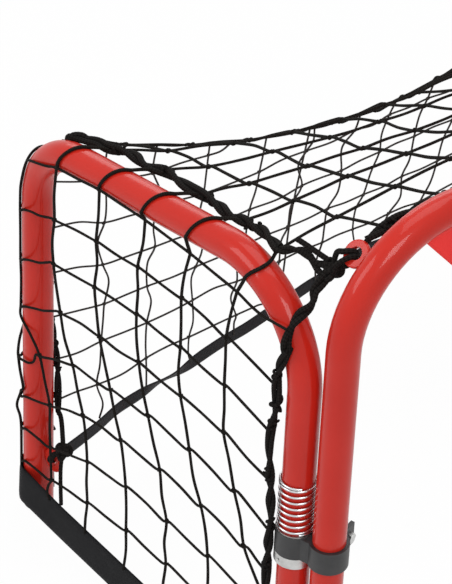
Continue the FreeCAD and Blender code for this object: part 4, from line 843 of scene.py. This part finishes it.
def side_net(name, side):
    knots = side_lattice(side)
    shape = Shape()
    wraps = Shape()
    rear_uprights(shape, knots, side)
    for column in range(SIDE_COLUMNS):
        column_knots = [knots[column, row] for row in range(SIDE_LINES) if (column, row) in knots]
        last = column_knots[-1]
        foot = array(side * (SIDE_PLANE + 1.2), last[1] + 2, HEM_TOP - 4)
        if last[1] < FRONT_NET_Y + 40:
            foot = front_rope_at(last[2] - 45, side)
        net_cord(shape, slack_line(column_knots + [foot], 100 + column, 1.5), UPRIGHT)
        if column < 4:
            y = side_column(column)
            over = bar_wrap(y, side, -24, 112, WRAP_LEAN * 0.72)[1:]
            join = top_rope_at(y - WRAP_LEAN, side)
        else:
            over = round_bend(FRONT_ARC, side, LAST_WRAP)
            join = top_rope_route(side)[-1]
        between = (over[-1] + join) / 2 + array(0, 0, 1)
        net_cord(wraps, through([column_knots[0], *over, between, join], 2.2), WRAP)
    for row in range(SIDE_LINES):
        row_knots = [knots[column, row] for column in range(-1, SIDE_COLUMNS) if (column, row) in knots]
        if not row_knots:
            continue
        if row == 0:
            join = offsets(upper_corner(side), side, LASH_JOIN)
            line = [*round_bend(REAR_ARC, side, ROW_END), *row_knots, *join]
            net_cord(shape, slack_line(line, 130, 0.2), LENGTHWISE)
            continue
        line = [*row_tail(row, row_knots[0], side), *row_knots, front_rope_at(row_knots[-1][2] - 8, side)]
        reach, rise = (7, 3.4) if row > 3 else (6, 1.6)
        line = shouldered(line, row_knots, reach, rise)
        net_cord(shape, slack_line(line, 130 + row, 1.2), LENGTHWISE)
        end = rear_end(row)
        last = 150 if end > 250 else 200
        around = [(-drop, angle, 0) for drop, angle in zip(np.linspace(0, 8, 10), np.linspace(42, last, 10))]
        net_cord(wraps, through(round_leg(end, side, around), 2.2), LENGTHWISE)
    for (column, row), place in knots.items():
        if row:
            net_knot(shape, place, (0, 0.1, 1), (0, 1, -0.2), NET_CORD, 160 + column * 10 + row)
    settle_wing(shape, name, "side_net_cords", "side_net", "black_net")
    settle_wing(wraps, name, "net_lacing_cords", "net_lacing", "black_net")


# Top net: a saddle between the crossbar, the two top bars and the sagging rear edge

ROOF_MESH = 67
ROOF_PLACES = (-206, -135, -67, 1, 69, 137, 219)
ROOF_MIDDLE = (606, 583, 540, 495, 458, 418, 342)
ROOF_POWER = (3, 3, 2.1, 2.1, 2.1, 2.1, 1.7)
ROOF_SIDE = ROPE_X - 3
ROOF_REAR = NET_Y - 2
ROOF_SHIFT = 42
ROOF_REAR_FALL = 0.36
ROOF_COLUMNS = 6
ROOF_ROWS = tuple(side_column(number) - WRAP_LEAN for number in range(-1, 5))


def roof_height(x, y):
    """Height of the top net: the middle line, raised towards the top bars."""
    centre = np.interp(y, ROOF_PLACES, ROOF_MIDDLE)
    edge = min(top_rope_place(y, 1, 0, 1)[2], CROSS_ROPE_Z)
    edge -= max(y - REAR_Y + 60, 0) * ROOF_REAR_FALL
    share = min(abs(x) / ROOF_SIDE, 1.0)
    return centre + (edge - centre) * share ** np.interp(y, ROOF_PLACES, ROOF_POWER)


def roof_edge(x):
    """A place on the rear edge of the top net."""
    return array(x, ROOF_REAR, roof_height(x, ROOF_REAR))


def roof_column(number, y):
    """Sideways place of a front-to-back cord, drawn towards the middle at the back."""
    start = ROOF_MESH * (number + 0.5)
    return start - ROOF_SHIFT * ease((y + 120) / 290) * math.sin(math.pi * start / 420)


def top_net():
    shape = Shape()
    draw = np.random.RandomState(9)
    knots = {}
    numbers = range(-ROOF_COLUMNS, ROOF_COLUMNS)
    for number in numbers:
        for row, y in enumerate(ROOF_ROWS):
            x = roof_column(number, y) + draw.uniform(-2, 2)
            at = y + draw.uniform(-2, 2)
            knots[number, row] = array(x, at, roof_height(x, at) + draw.uniform(-1, 1))
    for number in numbers:
        front = array(roof_column(number, CROSS_ROPE_Y), CROSS_ROPE_Y + 3, CROSS_ROPE_Z - 2)
        if number in (numbers[0], numbers[-1]):
            straight = math.copysign(POST_X - CORNER_BEND, number)
            front = array(straight + math.copysign(49, number), CROSS_ROPE_Y + 8, CROSS_ROPE_Z - 10)
        line = [roof_edge(roof_column(number, ROOF_REAR))]
        for row in range(len(ROOF_ROWS)):
            place = knots[number, row]
            line += [place + array(0, 7, -3.4), place, place + array(0, -7, 3.8)]
        net_cord(shape, slack_line([*line, front], 200 + number, 1.6), NET_CORD * 0.5, 0.07)
    for row, y in enumerate(ROOF_ROWS):
        edge = top_rope_at(y, 1)
        line = [edge * array(-1, 1, 1), *(knots[number, row] for number in numbers), edge]
        net_cord(shape, slack_line(line, 230 + row, 1.0), NET_CORD * 0.44)
    for (number, row), place in knots.items():
        net_knot(shape, place, (0.05, 1, -0.5), (1, 0, 0), NET_CORD, 240 + number * 7 + row)
    edge = [roof_edge(x) for x in np.linspace(-ROOF_SIDE + 4, ROOF_SIDE - 4, 25)]
    twisted(shape, through(edge, 4), NET_CORD * 0.46, 110, 17, 0.04, 9, 1.8)
    return settle(shape, "top_net_cords", "front", "black_net", "top_net")


# Back net: thin twine between the rear legs, and the strap along its foot

NET_HALF = 424.9
BACK_MESH = 62
BACK_LEVEL = 190
BACK_SAG = 0.21
STRAP_RISE = 75
STRAP_WIDTH = 16
STRAP_THICK = 1.6
STRAP_HALF = 436.7
STRAP_ROUND = 20
STRAP_BOW = 1.4
STRAP_LIFT = 2
STRAP_TWIST = -0.8
STRAP_TWIST_X = -283
# The back net hangs askew: how far each part of it has drifted sideways at its foot, and leans above
BACK_SKEW_X = (-310, -248, -186, -124, -62, 0, 62, 124, 248, 372)
BACK_DRIFT = (-2, -2, -4, -6, -12, -26, -38, -50, -24, 0)
BACK_LEAN = (5, 10, 22, 27, 35, 38, 40, 44, 16, 0)
BACK_LEAN_FROM = 200
BACK_LEAN_SPAN = 120


def strap_height(x):
    away = math.hypot(x, STRAP_ROUND) / math.hypot(STRAP_HALF, STRAP_ROUND)
    return EYE_LOW + STRAP_LIFT + STRAP_RISE * max(1 - away, 0) ** STRAP_BOW


def back_row(x, row):
    """Height of a lengthwise twine of the back net: level with the side net at the legs."""
    level = SIDE_TOP - SIDE_ROWS * row
    return level - BACK_SAG * (level - BACK_LEVEL) * (1 - (abs(x) / NET_HALF) ** 4)


def back_column(x, z):
    """Sideways place of an upright twine of the back net at a height."""
    lift = min(max((z - BACK_LEAN_FROM) / BACK_LEAN_SPAN, -0.2), 1.3)
    return x + np.interp(x, BACK_SKEW_X, BACK_DRIFT) + np.interp(x, BACK_SKEW_X, BACK_LEAN) * lift


def back_head(x):
    """Where an upright twine of the back net meets the rear edge of the top net."""
    at = x
    for _ in range(6):
        at = back_column(x, roof_height(at, ROOF_REAR))
    return roof_edge(at)


def run_tip(x, sign, row):
    """Where a lengthwise twine ends: beside the leg, or on the rear edge of the top net."""
    if sign * x > BACK_MESH * 5.5:
        return array(sign * (NET_HALF + 5), REAR_Y - 3, back_row(NET_HALF, row))
    if sign * x > 0:
        return None
    return roof_edge(x + sign * 30)


def back_net():
    shape = Shape()
    draw = np.random.RandomState(15)
    numbers = range(-6, 7)
    rows = range(1, 7)
    knots = {}
    for number in numbers:
        x = BACK_MESH * number
        for row in rows:
            z = back_row(x, row) + draw.uniform(-3, 3)
            place = array(back_column(x, z) + draw.uniform(-4, 4), NET_Y - 1 + draw.uniform(-1, 1), z)
            if strap_height(place[0]) + 16 < place[2] < roof_height(place[0], ROOF_REAR) - 9:
                knots[number, row] = place
    for number in numbers:
        x = BACK_MESH * number
        tied = [knots[number, row] for row in rows if (number, row) in knots]
        foot_x = back_column(x, strap_height(x)) + 2
        foot = array(foot_x, NET_Y - 1, strap_height(foot_x) + 2)
        tube(shape, slack_line([back_head(x), *tied, foot], 300 + number, 6.0), BACK_CORD / 2, 6)
    for row in rows:
        runs = [[]]
        for number in numbers:
            if (number, row) in knots:
                runs[-1].append(knots[number, row])
            elif runs[-1]:
                runs.append([])
        for run in filter(None, runs):
            ends = (run_tip(run[0][0], -1, row), run_tip(run[-1][0], 1, row))
            line = [place for place in (ends[0], *run, ends[1]) if place is not None]
            if len(line) > 1:
                tube(shape, slack_line(line, 330 + row, 2.6), BACK_CORD / 2, 6)
    for (number, row), place in knots.items():
        net_knot(shape, place, (0, 0, 1), (1, 0, 0), BACK_CORD * 1.1, 350 + number * 8 + row)
    return settle(shape, "back_net_cords", "front", "black_net", "back_net", THIN_NET)


def band_profile(width, thick, steps=8):
    """Cross section of a webbing band: two faces with softly rounded edges."""
    half, over = width / 2, thick / 2
    outline = [(-half + width * index / steps, -over) for index in range(steps + 1)]
    outline += [(half + over * 0.7, 0.0)]
    outline += [(half - width * index / steps, over) for index in range(steps + 1)]
    outline += [(-half - over * 0.7, 0.0)]
    return outline + outline[:1]


def band(shape, line, upward, width, thick, step=3.0):
    """A flat band along a line, with its width along upward."""
    line = resample(line, step)
    tangents, _, _ = frames_along(line)
    rows = []
    for place, tangent in zip(line, tangents):
        wide = upward(place)
        wide = unit(wide - tangent * (wide @ tangent))
        face = np.cross(tangent, wide)
        rows.append([place + wide * across + face * over for across, over in band_profile(width, thick)])
    strip(shape, rows, width / 8, step)
    close_strip(shape, rows)


def back_strap():
    shape = Shape()
    draw = np.random.RandomState(21)
    behind = NET_Y + 1.1
    places = []
    for x in np.linspace(-STRAP_HALF, STRAP_HALF, 31):
        part = abs(x) / STRAP_HALF
        y = behind - (behind - (REAR_Y - 27.2)) * max(part - 0.78, 0) / 0.22
        inside = 1 - part ** 8
        y += inside * draw.uniform(-1.2, 0.4)
        places.append(array(x, y, strap_height(x) + inside * draw.uniform(-1.6, 1.6)))
    lean = draw.uniform(-0.12, 0.12, 12)

    def upward(place):
        share = (place[0] + STRAP_HALF) / (2 * STRAP_HALF) * (len(lean) - 1)
        twist = STRAP_TWIST * math.exp(-((place[0] - STRAP_TWIST_X) / 24) ** 2)
        return array(0, np.interp(share, range(len(lean)), lean) + twist, 1)

    band(shape, through(places, 3.0), upward, STRAP_WIDTH - 0.4, STRAP_THICK)
    return settle(shape, "back_strap_webbing", "front", "black_webbing", "back_strap")


# Fabric band along the foot of a wing

HEM_THICK = 2.4
HEM_HEIGHT = HEM_TOP - HEM_LOW
HEM_ROWS = 14
# Where it comes round the rear leg the band is loose: it lifts and stands off the tube
BAND_LOOSE = 75
BAND_LIFT = 6
BAND_STAND = 3


def hem_way(side):
    """The band's way along the wing and round the rear leg."""
    reach = TUBE_R + 0.3 + HEM_THICK / 2
    way = [array(side * (LEG_X + reach), y, 0) for y in np.linspace(LEG_Y + 1, REAR_Y, 48)]
    for angle in np.radians(np.linspace(0, 180, 25))[1:]:
        way.append(array(side * (LEG_X + reach * math.cos(angle)), REAR_Y + reach * math.sin(angle), 0))
    return resample(way, 4.0)


def hem_band(name, side):
    draw = np.random.RandomState(31)
    way = hem_way(side)
    tangents = np.gradient(way, axis=0)
    folds = draw.uniform(-1, 1, (len(range(0, len(way), 9)) + 1, 3))
    rows = []
    for index, place in enumerate(way):
        out = unit(np.cross(unit(tangents[index]), array(0, 0, 1))) * side
        swing, curl = (np.interp(index / 9, range(len(folds)), folds[:, number]) for number in (0, 1))
        straight = 1.0 if index < 90 else 0.35
        loose = ease((place[1] - REAR_Y + BAND_LOOSE) / BAND_LOOSE)
        outer, inner = [], []
        for share in np.arange(HEM_ROWS + 1) / HEM_ROWS:
            here = place + array(0, 0, HEM_LOW + HEM_HEIGHT * share + BAND_LIFT * loose)
            seam = sum(0.25 * math.exp(-((share - height) / 0.03) ** 2) for height in (0.08, 0.92))
            swell = 0.45 * swing * math.sin(math.pi * share) + 0.25 * curl * math.sin(2 * math.pi * share)
            swell *= straight
            edge = HEM_THICK / 2 * (1 - 0.5 * (abs(share - 0.5) * 2) ** 12) * 0.8
            stand = BAND_STAND * loose * (1 - 0.5 * share)
            outer.append(here + out * (edge + swell - seam + stand))
            inner.append(here - out * (edge - max(swell, 0) - stand))
        rows.append(outer + inner[::-1] + outer[:1])
    shape = Shape()
    strip(shape, rows, HEM_HEIGHT / HEM_ROWS, 4.0)
    close_strip(shape, rows)
    item = settle_wing(shape, name, "hem_band_fabric", "hem_band", "black_fabric", True)


# Knots and lashings. Their places are outward, backward and upward of a ring, a knot or a corner

KNOT_FROM_EYE = (14.8, 22, -19)
KNOT_SLIP = (-2.3, -5.5, -3.5)
# Two strands through the ring: towards the knot, beside that line, and above the ring's face
RING_LOOPS = (
    ((16.5, -6.6, 5.0), (9, -4.2, 6.6), (4, -3.0, 4.8), (1, -2.6, 0), (3, -2.6, -5.2), (14, -3, -6.4)),
    ((20, 3.6, 3.6), (12.0, 3.6, 6.0), (5, 3.0, 4.8), (1, 2.6, 0), (3, 2.6, -5.2), (14, 3, -6.4)),
)
UPPER_STRAND = (
    (16.5, 39.5, -1.5), (12.7, 34.4, 1.1), (8.1, 25.9, 2.7), (6.1, 16.9, 1.3), (4.7, 8.6, -0.9),
    (0.8, 0.2, -0.5),
)
LOWER_STRAND = ((8.1, 25.9, 2.2), (6.1, 18.6, 1.6), (6.3, 10.8, -2.1), (6.7, 4.4, -5.7), (5.4, -2.6, -7.0))
CUT_END = ((-2.7, 0.7, 2.9), (2.8, 10.3, 7.9), (8.1, 19.6, 12.8), (13, 27.9, 17))
LASH_ROUTE = (
    (-20.1, 10.9, -10), (-13.8, 11.3, -16.4), (-11, 8.7, -23.1), (-6.3, 8.2, -29.1), (1.3, 10.3, -34.9),
    (8.4, 10.9, -41.8), (14.5, 9.8, -49.6), (19.4, 7.2, -57),
)
LOW_KNOT_FROM_EYE = (-1, -15, 29)
LOW_KNOT_SLIP = (1, -2.5, -4.5)
LOW_LOOP = 6.2
LOW_TAIL = ((6, 178, 90), (13, 169, 78), (16.5, 163, 50))
# The top rope's rear end turns back on itself: behind the front leg, inward and lower
REAR_BIGHT = ((365, 4, 1), (369, 1, -2.6), (374, -3, -3), (379, -5, 0), (376, -7, 4))


def knot_places(side):
    """The upper ring, the knot beside it, and the middle of the knot's bundle."""
    eye = array(side * CORNER_EYE.x, CORNER_EYE.y, CORNER_EYE.z)
    knot, = offsets(eye, side, (KNOT_FROM_EYE,))
    return eye, knot, *offsets(knot, side, (KNOT_SLIP,))


def corner_knot(name, side):
    """The large knot at the upper ring: two strands looped through the ring and a tight bundle."""
    eye, knot, centre = knot_places(side)
    normal = array(side * math.sqrt(0.5), 0, math.sqrt(0.5))
    towards = centre - eye
    towards = unit(towards - normal * (towards @ normal))
    aside = np.cross(normal, towards) * -side
    shape = Shape()
    for loop in RING_LOOPS:
        strand = [eye + towards * away + aside * beside + normal * above for away, beside, above in loop]
        rope_cord(shape, through([centre, *strand, centre], 1.1), TIE / 2)
    knot_bundle(shape, centre, side, 10.2, 5.8, (0.3, 1.3, 2.2, 0.8))
    rope_cord(shape, through(offsets(knot, side, CUT_END), 1.1), TIE / 2)
    settle(shape, "corner_knot_cords_" + name, "front", "black_rope", "corner_knot_" + name)


def across_hinge(shape, piece, name, start, end):
    """A rope piece between the fixed frame and a wing, which rides on no body."""
    item = shape.finish(f"{piece}_{name}", LOOKS["black_rope"])
    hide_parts("corner_lashing_" + name)
    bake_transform(item)


def corner_lashing(name, side):
    """From the knot, a twisted pair to the front rope, and strands to the top rope."""
    _, knot, centre = knot_places(side)
    rope = front_rope_route(side)
    turns = offsets(upper_corner(side), side, LASH_ROUTE)
    shape = Shape()
    line = [centre, *turns, rope[0] - unit(rope[0] - rope[1]) * 6]
    twisted(shape, through(line, 1.5), STRAND * 0.92, 74, 71, 0.03)
    across_hinge(shape, "corner_lashing_cords", name, centre, turns[-1])
    end = top_rope_route(side)[-1]
    shape = Shape()
    line = [end + array(0, 8, -1), end, *offsets(knot, side, UPPER_STRAND)]
    twisted(shape, through(line, 1.3), STRAND * 0.74, 52, 72, 0.03)
    rope_cord(shape, through([*offsets(knot, side, LOWER_STRAND), centre], 1.1), STRAND * 0.52, 11)
    across_hinge(shape, "corner_lashing_strands", name, centre, end)


def lower_knot(name, side):
    """The knot at the lower ring, with a cord that runs on down to the band."""
    eye = array(side * LEG_X, REAR_Y - 28, EYE_LOW)
    knot, = offsets(eye, side, (LOW_KNOT_FROM_EYE,))
    centre, = offsets(knot, side, (LOW_KNOT_SLIP,))
    towards = unit(array(0, -15, 29))
    shape = Shape()
    for shift in (-1.2, 1.2):
        aside = array(LOW_LOOP, shift, 0)
        turn = eye + towards * 0.6 + array(0, shift, 0)
        near, away = eye + towards * 4, eye + towards * 17.8
        loop = [centre, away + aside, near + aside, turn, near - aside, away - aside, centre]
        rope_cord(shape, through(loop, 1.1), TIE / 2 * 0.9)
    knot_bundle(shape, centre, side, 9.0, 5.4, (0.5, 1.8, 2.6, 0.2))
    end = rear_rope_route(side)[-1]
    rope_cord(shape, through([end + array(0, 1, 4), end + array(0, -6, -5), centre], 1.1), REAR_STRAND * 0.6)
    tail = offsets(array(side * LEG_X, 0, 0), side, LOW_TAIL)
    rope_cord(shape, through([centre, *tail], 1.1), REAR_STRAND * 0.5, 9, 0.06)
    settle_wing(shape, name, "lower_knot_cords", "lower_knot", "black_rope")


def rear_knot(name, side):
    place = top_rope_route(side)[0] + array(side * 1.4, 2, -5.5)
    shape = Shape()
    knot_bundle(shape, place, side, 6.0, 4.8, (0.2, 1.4, 2.4))
    bight = [top_rope_place(LEG_Y + behind, side, inward, lower) for behind, inward, lower in REAR_BIGHT]
    rope_cord(shape, through(bight, 1.1), STRAND * 0.55, 11)
    settle_wing(shape, name, "rear_knot_cords", "rear_knot", "black_rope")


def crossbar_rope():
    y, z = CROSS_ROPE_Y, CROSS_ROPE_Z
    straight = POST_X - CORNER_BEND
    inner = straight - 45
    rim = 13.5 + 0.6
    half = [array(*CORNER_EYE) + array(-1, 0, 1) * math.sqrt(0.5) * rim, array(straight + 49, y + 4.5, z - 7),
            array(straight + 24, y + 2, z - 1.6), array(straight - 4, y, z), array(inner, y, z + 0.6)]
    run = inner / 4
    inside = [array(inner - run * index, y, z + (0.6 if index % 2 == 0 else -0.6)) for index in range(1, 8)]
    line = spline(half + inside + [place * array(-1, 1, 1) for place in reversed(half)])
    shape = Shape()
    twisted(shape, line, STRAND, 96, 81, 0.05)
    way = lengths_along(line)[-1]
    for number in range(12):
        hitch(shape, line, 0.5 + ROOF_MESH * (number - 5.5) / way, 82 + number)
    settle(shape, "crossbar_rope_strands", "front", "black_rope", "crossbar_rope")


# Cloth target and its loops

CLOTH_SLANT = math.radians(49.5)
CLOTH_BILLOW = 6.5
CLOTH_ROWS = 40
CLOTH_COLUMNS = 90
LOOP_SPACING = 240
LOOP_WIDTH = 25
LOOP_THICK = 1.5


def target_cloth():
    """A hanging sheet with a slanting side at each end, which bellies forward near its top."""
    top = CLOTH_HIGH.z / MM
    drop = top - CLOTH_LOW.z / MM
    half = CLOTH_HIGH.x / MM
    narrow = half - drop / math.tan(CLOTH_SLANT)
    phases = np.random.RandomState(41).uniform(0, 6.28, 6)

    def surface(across, down, face):
        x = (-half + (half - narrow) * down) + 2 * (half - (half - narrow) * down) * across
        ripple = 2.6 * down * math.sin(x / 62 + phases[0])
        ripple += 1.2 * down * math.sin(x / 27 + down * 2 + phases[1])
        ripple += 1.0 * math.sin(x / 120 + phases[2]) * (1 - down)
        ripple -= CLOTH_BILLOW * math.exp(-((down - 0.27) / 0.17) ** 2)
        hem = 0.5 if min(across, 1 - across, down, 1 - down) < 0.03 else 0.0
        return array(x, POST_Y + ripple + face * (0.6 + hem), top - drop * down)

    rows = []
    for down in np.arange(CLOTH_ROWS + 1) / CLOTH_ROWS:
        front, back = ([surface(index / CLOTH_COLUMNS, down, face) for index in range(CLOTH_COLUMNS + 1)]
                       for face in (-1, 1))
        rows.append(front + back[::-1] + front[:1])
    shape = Shape()
    strip(shape, rows, 2 * half / CLOTH_COLUMNS, drop / CLOTH_ROWS)
    for row, order in ((rows[0], 1), (rows[-1], -1)):
        for index in range(CLOTH_COLUMNS):
            opposite = 2 * CLOTH_COLUMNS - index
            quad = [row[index], row[index + 1], row[opposite], row[opposite + 1]][::order]
            shape.add(quad, [(0, 1, 2, 3)], [(0.0, 0.0)] * 4)
    item = settle(shape, "target_cloth_fabric", "front", "red_cloth", "target_cloth", weld=True)


def cloth_loops():
    shape = Shape()
    reach = TUBE_R + 0.3 + LOOP_THICK / 2
    for x in (-LOOP_SPACING, 0, LOOP_SPACING):
        line = [array(x, POST_Y - 0.6 - 0.3 - LOOP_THICK / 2, BAR_Z - TUBE_R - 24)]
        for angle in np.radians(np.linspace(-97, -440, 60)):
            line.append(array(x, POST_Y + reach * math.cos(angle), BAR_Z + reach * math.sin(angle)))
        band(shape, line, lambda place: array(1, 0, 0), LOOP_WIDTH, LOOP_THICK, 2.0)
    settle(shape, "cloth_loops_webbing", "front", "black_webbing", "cloth_loops")


MAKERS = (wing_tube, border_ropes, side_net, hem_band, corner_knot, corner_lashing, lower_knot, rear_knot)
for name, side in SIDES:
    for make in MAKERS:
        make(name, side)
crossbar_rope()
for piece in (top_net(), back_net(), back_strap()):
    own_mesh(piece)
target_cloth()
cloth_loops()

# The metal, plastic and rubber parts keep their shapes and take their finish
SLOT_OF = {row["node"]: row["material_slot"] for row in frame["record"]["subparts"]}
for name, item in frame["nodes"].items():
    look = HARD_LOOKS.get(SLOT_OF[name])
    if look:
        item.data.materials.clear()
        item.data.materials.append(look)
        item.data.polygons.foreach_set("use_smooth", [True] * len(item.data.polygons))
        bpy.context.view_layer.objects.active = item
        item.select_set(True)
        bpy.ops.object.shade_smooth_by_angle(angle=math.radians(35))
        item.select_set(False)


# Floor, light and camera

FLOOR_REACH = 12.0
FLOOR_WHITE = 0.96
WORLD_LIGHT = 0.36


def floor():
    """A pale floor that the camera and reflections see nearly white, with the object's shadow."""
    look = Look("pale_floor")
    pale = look.ramp(look.noise(2.0), (0.86, 0.86, 0.86), (0.9, 0.9, 0.9))
    look.feed(look.shader.inputs["Base Color"], pale)
    look.feed(look.shader.inputs["Roughness"], 0.9)
    glow = look.new("ShaderNodeEmission", {"Color": (1, 1, 1, 1)})
    rays = look.new("ShaderNodeLightPath").outputs
    seen = look.maths("MAXIMUM", rays["Is Camera Ray"], rays["Is Glossy Ray"])
    share = look.maths("MULTIPLY", seen, FLOOR_WHITE)
    inputs = {0: share, 1: look.shader.outputs["BSDF"], 2: glow.outputs["Emission"]}
    mix = look.new("ShaderNodeMixShader", inputs)
    look.feed(look.nodes["Material Output"].inputs["Surface"], mix.outputs["Shader"])
    mesh = bpy.data.meshes.new("floor")
    corners = [(x * FLOOR_REACH, y * FLOOR_REACH, 0) for x, y in ((-1, -1), (1, -1), (1, 1), (-1, 1))]
    mesh.from_pydata(corners, [], [(0, 1, 2, 3)])
    mesh.materials.append(look.item)
    plate = bpy.data.objects.new("floor", mesh)
    bpy.context.scene.collection.objects.link(plate)


def world():
    """Plain light all round, and a white background for the camera, glass and reflections."""
    studio = bpy.data.worlds.new("studio")
    bpy.context.scene.world = studio
    look = Nodes(studio)
    rays = look.new("ShaderNodeLightPath").outputs
    clear = look.maths("MAXIMUM", rays["Is Camera Ray"], rays["Is Transmission Ray"])
    seen = look.maths("MAXIMUM", clear, rays["Is Glossy Ray"])
    back = look.nodes["Background"]
    look.feed(back.inputs["Color"], (1, 1, 1, 1))
    look.feed(back.inputs["Strength"], look.spread(seen, WORLD_LIGHT, 1.0))


def lamp(name, place, aim, size, power):
    data = bpy.data.lights.new(name, "AREA")
    data.shape = "RECTANGLE"
    data.size, data.size_y = size
    data.energy = power
    item = bpy.data.objects.new(name, data)
    bpy.context.scene.collection.objects.link(item)
    item.location = place
    item.rotation_euler = (Vector(aim) - Vector(place)).to_track_quat("-Z", "Y").to_euler()


# The camera looks down from the front left, and the photograph is 452 by 584 pixels
IMAGE = (452, 584)
FOCAL_PIXELS = 3098.4
CAMERA_PLACE = (-1870.4, -1810.8, 2237.6)
CAMERA_DOWN = math.radians(38.066)
CAMERA_TURN = math.radians(39.358)
CAMERA_ROLL = math.radians(2.538)


def camera():
    data = bpy.data.cameras.new("camera")
    data.sensor_width = 36
    data.lens = FOCAL_PIXELS * data.sensor_width / max(IMAGE)
    data.clip_start, data.clip_end = 0.1, 50
    item = bpy.data.objects.new("camera", data)
    bpy.context.scene.collection.objects.link(item)
    reach = math.cos(CAMERA_DOWN)
    forward = Vector((math.sin(CAMERA_TURN) * reach, math.cos(CAMERA_TURN) * reach, -math.sin(CAMERA_DOWN)))
    level = Vector((math.cos(CAMERA_TURN), -math.sin(CAMERA_TURN), 0))
    lift = level.cross(forward)
    right = level * math.cos(CAMERA_ROLL) + lift * math.sin(CAMERA_ROLL)
    up = lift * math.cos(CAMERA_ROLL) - level * math.sin(CAMERA_ROLL)
    turn = Matrix((right, up, -forward)).transposed()
    item.matrix_world = Matrix.Translation(Vector(CAMERA_PLACE) * MM) @ turn.to_4x4()
    bpy.context.scene.camera = item


floor()
world()
lamp("key", (-1.6, -2.6, 3.2), (0, 0, 0.3), (1.6, 1.6), 58)
lamp("fill", (-3.2, 1.4, 2.4), (0, 0, 0.3), (1.8, 1.8), 44)
lamp("top", (0.2, 0.6, 3.6), (0, 0, 0.3), (2.4, 2.4), 42)
lamp("rim", (2.0, 3.4, 2.0), (0, 0, 0.4), (3.0, 1.2), 24)
camera()
bpy.context.scene.view_settings.view_transform = "Standard"
